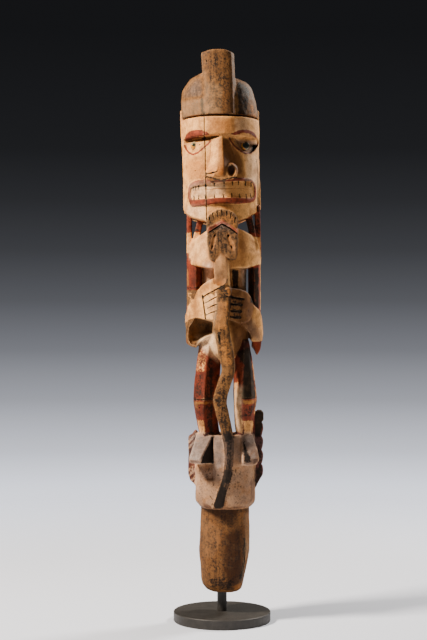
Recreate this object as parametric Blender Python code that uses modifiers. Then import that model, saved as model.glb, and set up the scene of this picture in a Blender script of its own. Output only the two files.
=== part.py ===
"""Malagan figure: one log of painted wood, carved and pierced, on a steel rod with a round steel foot.

Metres, +Z up. The origin is the middle of the disc's underside and the figure faces -Y. "Left" and
"right" are the viewer's, so left is -X. Every mass of the carving is worked out of one round log: it is
lofted between level sections, or it is a flat outline cut through the log from front to back.
"""

from math import cos, pi, radians, sin

import bmesh
import bpy
from mathutils import Matrix, Vector

OBJECT = "malagan_figure"
GAP = 0.0003  # between pieces that touch

# Stand
DISC_RADIUS = 0.121
DISC_HEIGHT = 0.024
DISC_EDGE = 0.0015
ROD_RADIUS = 0.012
ROD_REACH = 0.052  # how far the rod goes up into the tang

# Levels of the carving, from the floor up
TANG_FOOT = 0.076
BLOCK_FOOT = 0.2855
SOLE = 0.399
ANKLE = 0.466
KNEE = 0.555
PLATE_FOOT = 0.8755
PLATE_TOP = 0.979
CHIN = 0.987
BROW_FOOT = 1.199
BROW_TOP = 1.2465
CAP_FOOT = 1.2515
CAP_TOP = 1.369
CREST_TOP = 1.412

# The log: the middle of each stretch, half its width, and its depth in front of and behind the axis
HEAD_X = -0.0025
HEAD_HALF_WIDTH = 0.0945
FACE_DEPTH = 0.089
BROW_DEPTH = 0.099
BACK_DEPTH = 0.086
PLATE_X = 0.006
PLATE_HALF_WIDTH = 0.0915
PLATE_DEPTH = 0.096
BLOCK_X = 0.0085
BLOCK_HALF_WIDTH = 0.0745
BLOCK_DEPTH = 0.077
TANG_HALF_WIDTH = 0.0625
TANG_DEPTH = 0.056

# Face
EYE_RADIUS = 0.0098
EYE_RISE = 0.0045
EYE_SEAT = 0.006
LEFT_EYE = (-0.0690, -0.0560, 1.1785)
RIGHT_EYE = (0.0580, -0.0620, 1.1780)
EYE_TURN = radians(24)
NOSE_FRONT = 0.1185
NOSTRIL = (0.0200, 1.1105)
LIP_LIFT = 0.005
TEETH_SINK = 0.0025

# Snake
SNAKE_FRONT = 0.110
SNAKE_EDGE = 0.004

LOG_SIDES = 32

WOOD = ("wood", (0.55, 0.40, 0.28), 0.75, 0.0)
SHELL = ("shell", (0.72, 0.62, 0.38), 0.25, 0.0)
STEEL = ("dark_steel", (0.10, 0.09, 0.08), 0.5, 0.8)


def clear_scene():
    """Empty the file of objects."""
    for item in list(bpy.data.objects):
        bpy.data.objects.remove(item, do_unlink=True)


def collection_named(name):
    """A collection of that name in the scene."""
    group = bpy.data.collections.new(name)
    bpy.context.scene.collection.children.link(group)
    return group


def material_named(name, color, roughness, metallic):
    """A plain Principled material."""
    made = bpy.data.materials.new(name)
    made.use_nodes = True
    shader = made.node_tree.nodes["Principled BSDF"]
    shader.inputs["Base Color"].default_value = (*color, 1.0)
    shader.inputs["Roughness"].default_value = roughness
    shader.inputs["Metallic"].default_value = metallic
    return made


def object_from(name, mesh_builder, group, cutter=False):
    """Turn a filled bmesh into a named object of flat faces that point out."""
    if cutter:
        bmesh.ops.triangulate(mesh_builder, faces=mesh_builder.faces)
    bmesh.ops.recalc_face_normals(mesh_builder, faces=mesh_builder.faces)
    mesh = bpy.data.meshes.new(name)
    mesh_builder.to_mesh(mesh)
    mesh_builder.free()
    made = bpy.data.objects.new(name, mesh)
    group.objects.link(made)
    if cutter:
        made.hide_render = True
        made.display_type = "WIRE"
    return made


def combine(target, operand, operation):
    """Add one live Boolean to the target."""
    step = target.modifiers.new(f"{operation.lower()} {operand.name}", "BOOLEAN")
    step.object = operand
    step.operation = operation
    step.solver = "EXACT"


def loft(name, rings, group):
    """Skin a stack of rings that have the same number of points, and close both ends."""
    shape = bmesh.new()
    levels = [[shape.verts.new(point) for point in ring] for ring in rings]
    count = len(rings[0])
    for below, above in zip(levels, levels[1:]):
        for index in range(count):
            after = (index + 1) % count
            shape.faces.new((below[index], below[after], above[after], above[index]))
    shape.faces.new(levels[0][::-1])
    shape.faces.new(levels[-1])
    return object_from(name, shape, group, cutter=True)


def log_ring(level, middle, half_width, front, back, squareness=1.0, sides=LOG_SIDES):
    """A level section of the log: two half ellipses, boxier as squareness falls below 1."""
    points = []
    for index in range(sides):
        turn = 2 * pi * index / sides
        across = abs(cos(turn)) ** squareness * (1 if cos(turn) > 0 else -1)
        along = abs(sin(turn)) ** squareness
        depth = back * along if sin(turn) > 0 else -front * along
        points.append((middle + half_width * across, depth, level))
    return points


def log_piece(name, stations, group, squareness=1.0, sides=LOG_SIDES):
    """Loft level sections given as (level, middle, half width, front depth, back depth)."""
    rings = [log_ring(*station, squareness=squareness, sides=sides) for station in stations]
    return loft(name, rings, group)


def prism(name, outline, front, back, group):
    """A flat outline of (x, z) points, as thick as from y = front to y = back."""
    shape = bmesh.new()
    face = shape.faces.new([shape.verts.new((x, front, z)) for x, z in outline])
    grown = bmesh.ops.extrude_face_region(shape, geom=[face])
    moved = [item for item in grown["geom"] if isinstance(item, bmesh.types.BMVert)]
    bmesh.ops.translate(shape, verts=moved, vec=(0, back - front, 0))
    return object_from(name, shape, group, cutter=True)


def dish(name, outline, mouth, floor, middle, draw, group):
    """The tool of a hollow whose sides slant in, from the mouth, to a smaller floor."""
    rings = []
    for depth, share in ((0.2, 0.0), (mouth, 0.0), (0.35 * mouth + 0.65 * floor, 0.45 * draw), (floor, draw)):
        rings.append([(x + share * (middle[0] - x), -depth, z + share * (middle[1] - z)) for x, z in outline])
    return loft(name, rings, group)


def hull(name, points, group):
    """The convex hull of a few corners."""
    shape = bmesh.new()
    corners = [shape.verts.new(point) for point in points]
    bmesh.ops.convex_hull(shape, input=corners)
    loose = [vert for vert in shape.verts if not vert.link_faces]
    bmesh.ops.delete(shape, geom=loose, context="VERTS")
    return object_from(name, shape, group, cutter=True)


def limb_ring(level, outer, ridge, inner, front, side, back):
    """A level section of a faceted limb whose front ridge stands between two slanting faces."""
    rim = 0.3
    return [
        (outer, back, level),
        (outer, -side, level),
        (outer + rim * (ridge - outer), -side - 0.7 * (front - side), level),
        (ridge, -front, level),
        (inner + rim * (ridge - inner), -side - 0.5 * (front - side), level),
        (inner, -side, level),
        (inner, back, level),
    ]


def wrap_to_log(shape, stations, group):
    """Trim a prism to the round of the log."""
    combine(shape, log_piece(f"{shape.name} round", stations, group), "INTERSECT")


def arc(middle, radius, start, end, steps):
    """Points along an arc in the front plane, angles in degrees from +X."""
    span = [radians(start + (end - start) * step / steps) for step in range(steps + 1)]
    return [(middle[0] + radius * cos(turn), middle[1] + radius * sin(turn)) for turn in span]


def head_shapes(group):
    """Face, brow band, cap, crest, nose and lips."""
    back = BACK_DEPTH
    face = log_piece(
        "face",
        [
            (CHIN - 0.02, HEAD_X, HEAD_HALF_WIDTH - 0.006, FACE_DEPTH - 0.006, back - 0.01),
            (CHIN + 0.06, HEAD_X, HEAD_HALF_WIDTH - 0.002, FACE_DEPTH, back),
            (BROW_FOOT + 0.01, HEAD_X, HEAD_HALF_WIDTH, FACE_DEPTH - 0.002, back),
        ],
        group,
    )
    side = HEAD_HALF_WIDTH + 0.02
    jaw = [(-side, 1.0164), (-0.0916, 1.0164), (-0.0731, 1.0026), (-0.0358, 0.9905), (-0.0014, CHIN)]
    jaw += [(0.0345, 0.9915), (0.065, 1.0041), (0.0883, 1.022), (side, 1.022)]
    front_outline = jaw + [(side, BROW_TOP), (-side, BROW_TOP)]
    combine(face, prism("jaw line", front_outline, -0.2, 0.2, group), "INTERSECT")

    band = log_piece(
        "brow band",
        [
            (BROW_FOOT, HEAD_X, HEAD_HALF_WIDTH - 0.001, BROW_DEPTH - 0.003, back),
            (BROW_FOOT + 0.006, HEAD_X, HEAD_HALF_WIDTH + 0.0005, BROW_DEPTH, back + 0.002),
            (BROW_TOP, HEAD_X - 0.001, HEAD_HALF_WIDTH + 0.001, BROW_DEPTH - 0.002, back + 0.002),
        ],
        group,
    )
    cap_rise = CAP_TOP - CAP_FOOT
    cap = log_piece(
        "cap",
        [
            (BROW_TOP - 0.004, -0.004, HEAD_HALF_WIDTH - 0.010, 0.078, back - 0.010),
            (CAP_FOOT, -0.004, HEAD_HALF_WIDTH - 0.009, 0.080, back - 0.008),
            (CAP_FOOT + 0.0005, -0.004, HEAD_HALF_WIDTH + 0.002, 0.088, back),
            (CAP_FOOT + 0.18 * cap_rise, -0.0045, 0.0965, 0.088, back),
            (CAP_FOOT + 0.40 * cap_rise, -0.0080, 0.0930, 0.086, 0.084),
            (CAP_FOOT + 0.56 * cap_rise, -0.0098, 0.0870, 0.081, 0.079),
            (CAP_FOOT + 0.71 * cap_rise, -0.0118, 0.0770, 0.073, 0.070),
            (CAP_FOOT + 0.86 * cap_rise, -0.0170, 0.0570, 0.057, 0.052),
            (CAP_TOP, -0.0190, 0.0260, 0.030, 0.024),
        ],
        group,
    )
    return [face, band, cap, crest(group), nose(group), lips(group)]


def crest(group):
    """The tall slab on the cap: its front and top are gently rounded, and it runs back over the cap."""
    foot, top = CAP_FOOT, CREST_TOP
    rings = []
    for level, left, right, front in ((foot, -0.0435, 0.0345, 0.099), (top - 0.012, -0.0535, 0.0290, 0.086)):
        middle, half = (left + right) / 2, (right - left) / 2
        arched = [
            (middle + half * share, -front + 0.010 * share * share, level)
            for share in (-1, -0.6, -0.2, 0.2, 0.6, 0.86)
        ]
        rings.append(arched + [(right, -front + 0.024, level), (right, 0.030, level), (left, 0.030, level)])
    crown = []
    for x, y, level in rings[-1]:
        share = (x - middle) / half
        crown.append((middle + 0.97 * (x - middle), 0.98 * y - 0.001, level + 0.012 * (1 - 0.75 * share * share)))
    shape = loft("crest", rings + [crown], group)
    slope = [(0.13, foot), (0.13, top), (-0.002, top + 0.01), (0.016, 1.345), (0.020, foot)]
    blade = prism("crest slope", [(-y, z) for y, z in slope], -0.2, 0.2, group)
    blade.matrix_world = Matrix.Rotation(-pi / 2, 4, "Z")
    combine(shape, blade, "DIFFERENCE")
    return shape


def nose(group):
    """A straight nose with a flat ridge, flaring to two round wings."""
    bridge, tip, foot = BROW_FOOT + 0.004, 1.108, 1.0915
    ridge = -0.0125
    points = []
    for level, half, front in ((bridge, 0.0115, 0.098), (1.165, 0.012, 0.104), (tip + 0.008, 0.0150, NOSE_FRONT)):
        points += [(ridge - half, -front, level), (ridge + half, -front, level)]
    points += [(-0.0210, -NOSE_FRONT, tip - 0.010), (0.0040, -NOSE_FRONT, tip - 0.010)]
    points += [(-0.026, -0.078, bridge), (0.008, -0.078, bridge)]
    points += [(-0.020, -0.112, foot), (0.012, -0.112, foot), (-0.026, -0.07, foot), (0.028, -0.07, foot)]
    blade = hull("nose ridge", points, group)
    for name, middle in (("left nose wing", -0.0245), ("right nose wing", NOSTRIL[0])):
        combine(blade, ball(name, (middle, -0.0930, 1.1070), (0.0180, 0.0190, 0.0165), group), "UNION")
    return blade


def mouth_outline(grow):
    """The rounded outline of the mouth, its right end a little higher, grown outwards by a distance."""
    left, right, low, high, lift, corner = -0.0755, 0.0775, 1.0375, 1.0855, 0.0085, 0.014
    outline = []
    for x, z, start in ((right, high, 0), (left, high, 90), (left, low, 180), (right, low, 270)):
        inward = Vector((-1 if x > 0 else 1, -1 if z == high else 1)) * corner
        outline += arc((x + inward.x, z + inward.y), corner + grow, start, start + 90, 3)
    return [(x, z + lift * (x - left) / (right - left)) for x, z in outline]


def lips(group):
    """The raised rim of the mouth, wrapped round the face."""
    shape = prism("lips", mouth_outline(0.0065), -0.2, -0.02, group)
    level_rings = [
        (1.0, HEAD_X, HEAD_HALF_WIDTH - 0.0005, FACE_DEPTH + LIP_LIFT, 0.01),
        (1.13, HEAD_X, HEAD_HALF_WIDTH - 0.0005, FACE_DEPTH + LIP_LIFT, 0.01),
    ]
    wrap_to_log(shape, level_rings, group)
    return shape


def face_cuts(group):
    """The sunk teeth field, the eye sockets, the nostrils, and the wood below the brow."""
    teeth = prism("teeth field", mouth_outline(0.0), -0.2, -0.02, group)
    inner = log_piece(
        "teeth field core",
        [
            (0.95, HEAD_X, HEAD_HALF_WIDTH - 0.003, FACE_DEPTH - TEETH_SINK, 0.08),
            (1.18, HEAD_X, HEAD_HALF_WIDTH - 0.003, FACE_DEPTH - TEETH_SINK, 0.08),
        ],
        group,
    )
    combine(teeth, inner, "DIFFERENCE")
    cuts = [teeth]
    sockets = (
        ("left", [(-0.0985, 1.1870), (-0.0860, 1.1655), (-0.0700, 1.1600), (-0.0500, 1.1680), (-0.0300, 1.1900)]),
        ("right", [(0.0160, 1.1930), (0.0340, 1.1710), (0.0540, 1.1600), (0.0720, 1.1640), (0.0950, 1.1880)]),
    )
    for name, low_edge in sockets:
        outline = low_edge + [(low_edge[-1][0], BROW_FOOT - 0.0006), (low_edge[0][0], BROW_FOOT - 0.0006)]
        cut = prism(f"{name} socket", outline, -0.2, -0.01, group)
        core = log_piece(
            f"{name} socket core",
            [
                (1.1, HEAD_X, HEAD_HALF_WIDTH - 0.006, FACE_DEPTH - 0.009, 0.08),
                (1.25, HEAD_X, HEAD_HALF_WIDTH - 0.006, FACE_DEPTH - 0.009, 0.08),
            ],
            group,
        )
        combine(cut, core, "DIFFERENCE")
        cuts.append(cut)
    rim = [(NOSTRIL[0] + x, NOSTRIL[1] + z) for x, z in arc((0, 0), 0.0095, 0, 330, 11)]
    cuts.append(prism("nostril", rim, -0.2, -0.098, group))
    for x, y, z in (LEFT_EYE, RIGHT_EYE):
        cuts.append(eye_drum("eye seat", (x, y, z), EYE_RADIUS + GAP, EYE_SEAT + GAP, 0.05, group))
    return cuts


def eye_drum(name, place, radius, back, front, group):
    """A short round bar along the way an eye looks, from behind its middle to in front of it."""
    shape = bmesh.new()
    bmesh.ops.create_cone(shape, cap_ends=True, segments=16, radius1=radius, radius2=radius, depth=back + front)
    side = -1 if place[0] < 0 else 1
    aim = Matrix.Rotation(side * EYE_TURN, 4, "Z") @ Matrix.Rotation(pi / 2, 4, "X")
    offset = Matrix.Translation((0, 0, (front - back) / 2))
    bmesh.ops.transform(shape, matrix=Matrix.Translation(place) @ aim @ offset, verts=shape.verts)
    return object_from(name, shape, group, cutter=True)


def shoulder_shapes(group):
    """Neck, the openwork bars under the head, and the round plate of the shoulders."""
    plate = prism(
        "shoulder plate",
        [
            (-0.0950, 0.8935), (-0.0560, 0.8815), (-0.0218, 0.8760), (0.0237, PLATE_FOOT), (0.0608, 0.8785),
            (0.1100, 0.8950), (0.1100, 0.9270), (0.0925, 0.9375), (0.0719, 0.9600), (0.0400, 0.9760),
            (-0.0014, PLATE_TOP), (-0.0370, 0.9692), (-0.0603, 0.9515), (-0.0800, 0.9300), (-0.0950, 0.9150),
        ],
        -0.2, 0.2, group,
    )
    rounding = [
        (0.85, PLATE_X, PLATE_HALF_WIDTH - 0.001, PLATE_DEPTH, 0.078),
        (0.92, PLATE_X, PLATE_HALF_WIDTH, PLATE_DEPTH - 0.004, 0.078),
        (1.00, PLATE_X, PLATE_HALF_WIDTH - 0.01, PLATE_DEPTH - 0.022, 0.070),
    ]
    wrap_to_log(plate, rounding, group)
    neck = log_piece("neck", [(0.93, 0.002, 0.034, 0.080, 0.045), (1.02, 0.002, 0.031, 0.075, 0.045)], group,
                     squareness=0.8, sides=16)
    bars = []
    for name, foot, head, half, depth in (
        ("left outer bar", (-0.0835, 0.905), (-0.0835, 1.030), 0.0062, (-0.0264, 0.0283)),
        ("left inner bar", (-0.0690, 0.935), (-0.0495, 1.012), 0.0075, (-0.0407, 0.0112)),
        ("right outer bar", (0.0905, 0.905), (0.0880, 1.035), 0.0066, (-0.0267, 0.0291)),
        ("right inner bar", (0.0845, 0.925), (0.0625, 1.022), 0.0078, (-0.0412, 0.0107)),
    ):
        outline = [(foot[0] - half, foot[1]), (foot[0] + half, foot[1])]
        outline += [(head[0] + half, head[1]), (head[0] - half, head[1])]
        bars.append(prism(name, outline, *depth, group))
    return [plate, neck, *bars]


def trunk_shapes(group):
    """The narrow trunk, swelling to a round belly."""
    belly = [
        (0.649, 0.010, 0.010, 0.040, 0.020), (0.656, 0.008, 0.026, 0.060, 0.040),
        (0.672, 0.006, 0.043, 0.073, 0.052), (0.700, 0.006, 0.058, 0.080, 0.058),
        (0.735, 0.006, 0.062, 0.080, 0.056), (0.780, 0.006, 0.058, 0.064, 0.050),
        (0.825, 0.006, 0.054, 0.048, 0.044), (0.900, 0.006, 0.0545, 0.050, 0.044),
    ]
    return [log_piece("belly", belly, group, squareness=0.85, sides=24)]


def arm_shapes(group):
    """Upper arms down the sides, elbows, and forearms that end in the two hands on the snake."""
    shapes = []
    arms = (
        ("left upper arm", -0.0878, -0.0640, -0.0485),
        ("right upper arm", 0.0958, 0.0790, 0.0660),
    )
    for name, outer, ridge, inner in arms:
        rings = [limb_ring(level, outer, ridge, inner, 0.046, 0.012, 0.034) for level in (0.752, 0.903)]
        shapes.append(loft(name, rings, group))

    left_elbow = [
        (-0.0780, 0.8000), (-0.0925, 0.7510), (-0.0898, 0.7340), (-0.0898, 0.7150), (-0.0885, 0.6930),
        (-0.0760, 0.6850), (-0.0640, 0.6815), (-0.0540, 0.6960), (-0.0300, 0.7100), (-0.0200, 0.8000),
    ]
    right_elbow = [
        (0.0700, 0.8000), (0.0780, 0.7850), (0.0985, 0.7690), (0.1015, 0.7440), (0.1035, 0.7150),
        (0.1000, 0.6980), (0.0747, 0.6975), (0.0640, 0.7100), (0.0480, 0.7400), (0.0300, 0.7600), (0.0300, 0.8000),
    ]
    for name, outline in (("left elbow", left_elbow), ("right elbow", right_elbow)):
        elbow = prism(name, outline, -0.2, 0.032, group)
        wrap_to_log(elbow, [(0.6, 0.006, 0.0975, 0.090, 0.08), (0.9, 0.006, 0.0975, 0.094, 0.08)], group)
        shapes.append(elbow)
    left_hollow = [
        (-0.0660, 0.7520), (-0.0200, 0.7450), (-0.0150, 0.7300), (-0.0200, 0.7080), (-0.0400, 0.6950),
        (-0.0560, 0.6870), (-0.0700, 0.6900), (-0.0810, 0.6980), (-0.0830, 0.7120), (-0.0800, 0.7270),
    ]
    right_hollow = [
        (0.0200, 0.7560), (0.0480, 0.7400), (0.0600, 0.7270), (0.0685, 0.7160), (0.0715, 0.7060),
        (0.0690, 0.6990), (0.0500, 0.7010), (0.0200, 0.7110),
    ]
    combine(shapes[-2], dish("left hollow", left_hollow, 0.056, 0.010, (-0.0320, 0.7380), 0.85, group), "DIFFERENCE")
    combine(shapes[-1], dish("right hollow", right_hollow, 0.038, 0.010, (0.0450, 0.7200), 0.35, group), "DIFFERENCE")

    left_hand = [
        (0.0010, 0.8515), (-0.0150, 0.8520), (-0.0300, 0.8475), (-0.0493, 0.8344), (-0.0640, 0.8167),
        (-0.0689, 0.8004), (-0.0660, 0.7731), (-0.0680, 0.7530), (-0.0420, 0.7500), (-0.0200, 0.7440),
        (-0.0050, 0.7480), (-0.0050, 0.8300), (0.0096, 0.8454),
    ]
    right_hand = [
        (0.0130, 0.8240), (0.0259, 0.8291), (0.0573, 0.8208), (0.0724, 0.8030), (0.0763, 0.7826),
        (0.0724, 0.7597), (0.0464, 0.7417), (0.0179, 0.7500), (0.0100, 0.7550), (0.0100, 0.8120),
    ]
    for name, outline in (("left hand", left_hand), ("right hand", right_hand)):
        hand = prism(name, outline, -0.2, -0.0272, group)
        wrap_to_log(hand, [(0.7, 0.004, 0.084, 0.104, 0.02), (0.87, 0.004, 0.084, 0.106, 0.02)], group)
        shapes.append(hand)
    for name, tip, root in (
        ("left thumb", (0.0085, 0.8445), (-0.0120, 0.8405)),
        ("right thumb", (0.0150, 0.8170), (0.0290, 0.8200)),
    ):
        ends = [(x, y, z + rise) for x, z in (tip, root) for y in (-SNAKE_FRONT - 0.006, -0.09)
                for rise in (-0.006, 0.006)]
        bulge = [(tip[0] + (0.004 if name.startswith("left") else -0.004), y, tip[1]) for y in (-SNAKE_FRONT, -0.09)]
        shapes.append(hull(name, ends + bulge, group))
    stub = [(0.0760, 0.7050), (0.0760, 0.6830), (0.0820, 0.6810), (0.0865, 0.6635), (0.0920, 0.6635),
            (0.0960, 0.6800), (0.0985, 0.6930), (0.0985, 0.7050)]
    shapes.append(prism("broken stub", stub, -0.024, 0.020, group))
    return shapes


def ball(name, place, radii, group):
    """A coarse ellipsoid."""
    shape = bmesh.new()
    bmesh.ops.create_uvsphere(shape, u_segments=16, v_segments=9, radius=1.0)
    bmesh.ops.scale(shape, vec=radii, verts=shape.verts)
    bmesh.ops.translate(shape, vec=place, verts=shape.verts)
    return object_from(name, shape, group, cutter=True)


def leg_shapes(group):
    """Two bent legs with a ridge down the front, and wedge-shaped feet."""
    depths = ((0.700, 0.062, 0.030), (0.600, 0.072, 0.034), (KNEE, 0.084, 0.040), (0.538, 0.080, 0.038),
              (0.485, 0.062, 0.024), (ANKLE - 0.012, 0.056, 0.020))
    left = ((-0.0550, -0.0300, -0.0010), (-0.0680, -0.0410, -0.0060), (-0.0705, -0.0445, -0.0175),
            (-0.0690, -0.0470, -0.0165), (-0.0600, -0.0430, -0.0080), (-0.0525, -0.0400, -0.0040))
    right = ((0.066, 0.045, 0.025), (0.0820, 0.0475, 0.0295), (0.0860, 0.0475, 0.0295),
             (0.0830, 0.0475, 0.0300), (0.0775, 0.0475, 0.0325), (0.0750, 0.0475, 0.0380))
    shapes = []
    for name, spans in (("left leg", left), ("right leg", right)):
        rings = [
            limb_ring(level, *span, front, side, 0.034)
            for (level, front, side), span in zip(depths, spans)
        ]
        shapes.append(loft(name, rings, group))
    left_foot = [
        (-0.0605, -0.045, 0.476), (-0.0255, -0.052, 0.466), (-0.0815, -0.094, 0.4145), (-0.0530, -0.102, 0.4135),
        (-0.0815, -0.090, 0.4000), (-0.0530, -0.099, SOLE), (-0.0235, -0.060, SOLE), (-0.0700, -0.030, SOLE),
    ]
    right_foot = [
        (0.0450, -0.054, 0.467), (0.0745, -0.046, 0.474), (0.0490, -0.100, 0.4030), (0.0885, -0.088, 0.4200),
        (0.0905, -0.086, 0.409), (0.0500, -0.095, 0.3945), (0.0850, -0.084, 0.3965), (0.0440, -0.060, 0.3960),
        (0.0780, -0.030, SOLE),
    ]
    shapes += [hull("left foot", left_foot, group), hull("right foot", right_foot, group)]
    return shapes


def snake_shapes(group):
    """The snake down the middle, its shield-shaped head, and the comb of hair above it."""
    bends = (
        (0.912, -0.003, 0.008, 0.050), (0.896, -0.003, 0.0170, 0.050), (0.859, -0.001, 0.0188, 0.050),
        (0.810, 0.0030, 0.0180, 0.050), (0.746, -0.0045, 0.0173, 0.050), (0.726, -0.0030, 0.0195, 0.050),
        (0.699, 0.0032, 0.0182, 0.055), (0.660, 0.0102, 0.0190, 0.074), (0.630, 0.0152, 0.0154, 0.082),
        (0.597, 0.0056, 0.0170, 0.084), (0.556, -0.0060, 0.0168, 0.085), (0.520, 0.0008, 0.0158, 0.083),
        (0.476, 0.0112, 0.0139, 0.066), (0.440, 0.0162, 0.0112, 0.050), (0.400, 0.0158, 0.0098, 0.050),
        (0.350, 0.0080, 0.0082, 0.050),
    )
    rings = [snake_ring(level, middle, half, SNAKE_FRONT - 0.022 * max(0.0, (0.56 - level) / 0.2), back)
             for level, middle, half, back in bends]
    body = loft("snake body", rings[::-1], group)
    tail_outline = [(0.0020, 0.362), (0.0145, 0.358), (0.0085, 0.330), (0.0005, 0.289), (-0.0265, 0.289),
                    (-0.0135, 0.325)]
    tail = prism("snake tail", tail_outline, -0.083, -0.060, group)
    shield = prism(
        "shield head",
        [
            (0.0039, 0.9815), (-0.0368, 0.9600), (-0.0362, 0.9334), (-0.0300, 0.8985), (-0.0190, 0.9040),
            (-0.0040, 0.9170), (0.0170, 0.8990), (0.0330, 0.8985), (0.0385, 0.9250), (0.0385, 0.9560),
        ],
        -0.1175, -0.085, group,
    )
    comb_outline = arc((0.0, 0.9870), 0.0370, 0, 180, 10) + [(-0.0372, 0.9640), (0.0365, 0.9640)]
    comb = prism("comb", comb_outline, -0.1150, -0.0700, group)
    chevron = prism(
        "chevron",
        [
            (-0.0368, 0.9595), (-0.0010, 0.9835), (0.0372, 0.9580), (0.0385, 0.9680), (0.0340, 0.9700),
            (-0.0010, 0.9912), (-0.0355, 0.9724), (-0.0380, 0.9690),
        ],
        -0.1180, -0.0715, group,
    )
    return [body, tail, shield, comb, chevron]


def snake_ring(level, middle, half, front, back):
    """A level section of the snake: a flat front with bevelled edges, free behind where back is deep."""
    edge = SNAKE_EDGE
    return [
        (middle - half, -back, level),
        (middle - half, -front + edge, level),
        (middle - half + edge, -front, level),
        (middle + half - edge, -front, level),
        (middle + half, -front + edge, level),
        (middle + half, -back, level),
    ]


def shield_cuts(group):
    """The four pierced corners of the shield."""
    cuts = []
    windows = (
        [(-0.0190, 0.9665), (-0.0150, 0.9535), (-0.0235, 0.9535)],
        [(0.0150, 0.9640), (0.0200, 0.9490), (0.0110, 0.9500)],
        [(-0.0275, 0.9375), (-0.0200, 0.9250), (-0.0245, 0.9180)],
        [(0.0290, 0.9370), (0.0205, 0.9260), (0.0240, 0.9180)],
    )
    for outline in windows:
        cuts.append(prism("window", outline, -0.15, -0.104, group))
    return cuts


def base_shapes(group):
    """The block under the feet, the notched wings beside it, and the tang."""
    block = log_piece(
        "block",
        [
            (BLOCK_FOOT, BLOCK_X, BLOCK_HALF_WIDTH - 0.013, BLOCK_DEPTH - 0.002, 0.066),
            (BLOCK_FOOT + 0.008, BLOCK_X, BLOCK_HALF_WIDTH - 0.004, BLOCK_DEPTH, 0.069),
            (BLOCK_FOOT + 0.022, BLOCK_X, BLOCK_HALF_WIDTH, BLOCK_DEPTH, 0.070),
            (0.420, BLOCK_X + 0.0005, BLOCK_HALF_WIDTH - 0.0005, BLOCK_DEPTH - 0.004, 0.070),
            (ANKLE, BLOCK_X + 0.001, BLOCK_HALF_WIDTH - 0.003, BLOCK_DEPTH - 0.012, 0.066),
        ],
        group,
    )
    right_wing = [(0.0700, 0.3420), (0.0850, 0.3340), (0.0960, 0.3560)]
    for level in (0.389, 0.424, 0.459, 0.495):
        right_wing += [(0.1025, level - 0.016), (0.1025, level - 0.004), (0.0985, level)]
    right_wing += [(0.1045, 0.500), (0.1045, 0.518), (0.0930, 0.5255), (0.0830, 0.5200), (0.0700, 0.4700)]
    left_wing = [(-0.0600, 0.4680), (-0.0700, 0.4660), (-0.0820, 0.4560), (-0.0845, 0.4200), (-0.0840, 0.3660),
                 (-0.0770, 0.3420), (-0.0670, 0.3370), (-0.0600, 0.3420)]
    wings = [
        prism("right wing", right_wing, -0.012, 0.030, group),
        prism("left wing", left_wing, -0.010, 0.032, group),
    ]
    tang = log_piece(
        "tang",
        [
            (TANG_FOOT, 0.006, 0.034, 0.036, 0.036),
            (TANG_FOOT + 0.008, 0.0035, 0.0457, 0.046, 0.046),
            (TANG_FOOT + 0.025, 0.001, 0.0525, 0.051, 0.051),
            (TANG_FOOT + 0.061, 0.004, 0.0575, 0.054, 0.054),
            (0.172, 0.0055, TANG_HALF_WIDTH, TANG_DEPTH, TANG_DEPTH),
            (0.220, 0.007, TANG_HALF_WIDTH - 0.0005, TANG_DEPTH, TANG_DEPTH),
            (BLOCK_FOOT + 0.01, 0.0075, TANG_HALF_WIDTH - 0.003, TANG_DEPTH, TANG_DEPTH),
        ],
        group,
        squareness=0.85,
        sides=24,
    )
    facet = hull(
        "tang facet",
        [(0.0480, -0.070, level) for level in (0.05, 0.28)] + [(0.0760, -0.034, level) for level in (0.05, 0.28)]
        + [(0.0900, -0.070, level) for level in (0.05, 0.28)],
        group,
    )
    combine(tang, facet, "DIFFERENCE")
    socket = drum("rod socket", ROD_RADIUS + GAP, 0.05, TANG_FOOT + ROD_REACH + GAP, group, cutter=True)
    combine(tang, socket, "DIFFERENCE")
    return [block, *wings, tang]


def drum(name, radius, foot, top, group, cutter=False, sides=32):
    """An upright round bar on the axis."""
    shape = bmesh.new()
    bmesh.ops.create_cone(shape, cap_ends=True, segments=sides, radius1=radius, radius2=radius, depth=top - foot)
    bmesh.ops.translate(shape, vec=(0, 0, (foot + top) / 2), verts=shape.verts)
    return object_from(name, shape, group, cutter=cutter)


def build_figure(parts, shapes, material):
    """Join every mass into one solid log and cut the sunk places out of it."""
    masses = base_shapes(shapes) + leg_shapes(shapes) + trunk_shapes(shapes) + arm_shapes(shapes)
    masses += shoulder_shapes(shapes) + head_shapes(shapes) + snake_shapes(shapes)
    figure = log_piece("carved_figure", [(0.30, BLOCK_X, 0.04, 0.04, 0.04), (0.36, BLOCK_X, 0.04, 0.04, 0.04)],
                       parts, sides=12)
    figure.hide_render = False
    figure.display_type = "TEXTURED"
    for mass in masses:
        combine(figure, mass, "UNION")
    for cut in face_cuts(shapes) + shield_cuts(shapes):
        combine(figure, cut, "DIFFERENCE")
    figure.data.materials.append(material)
    return figure


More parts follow.
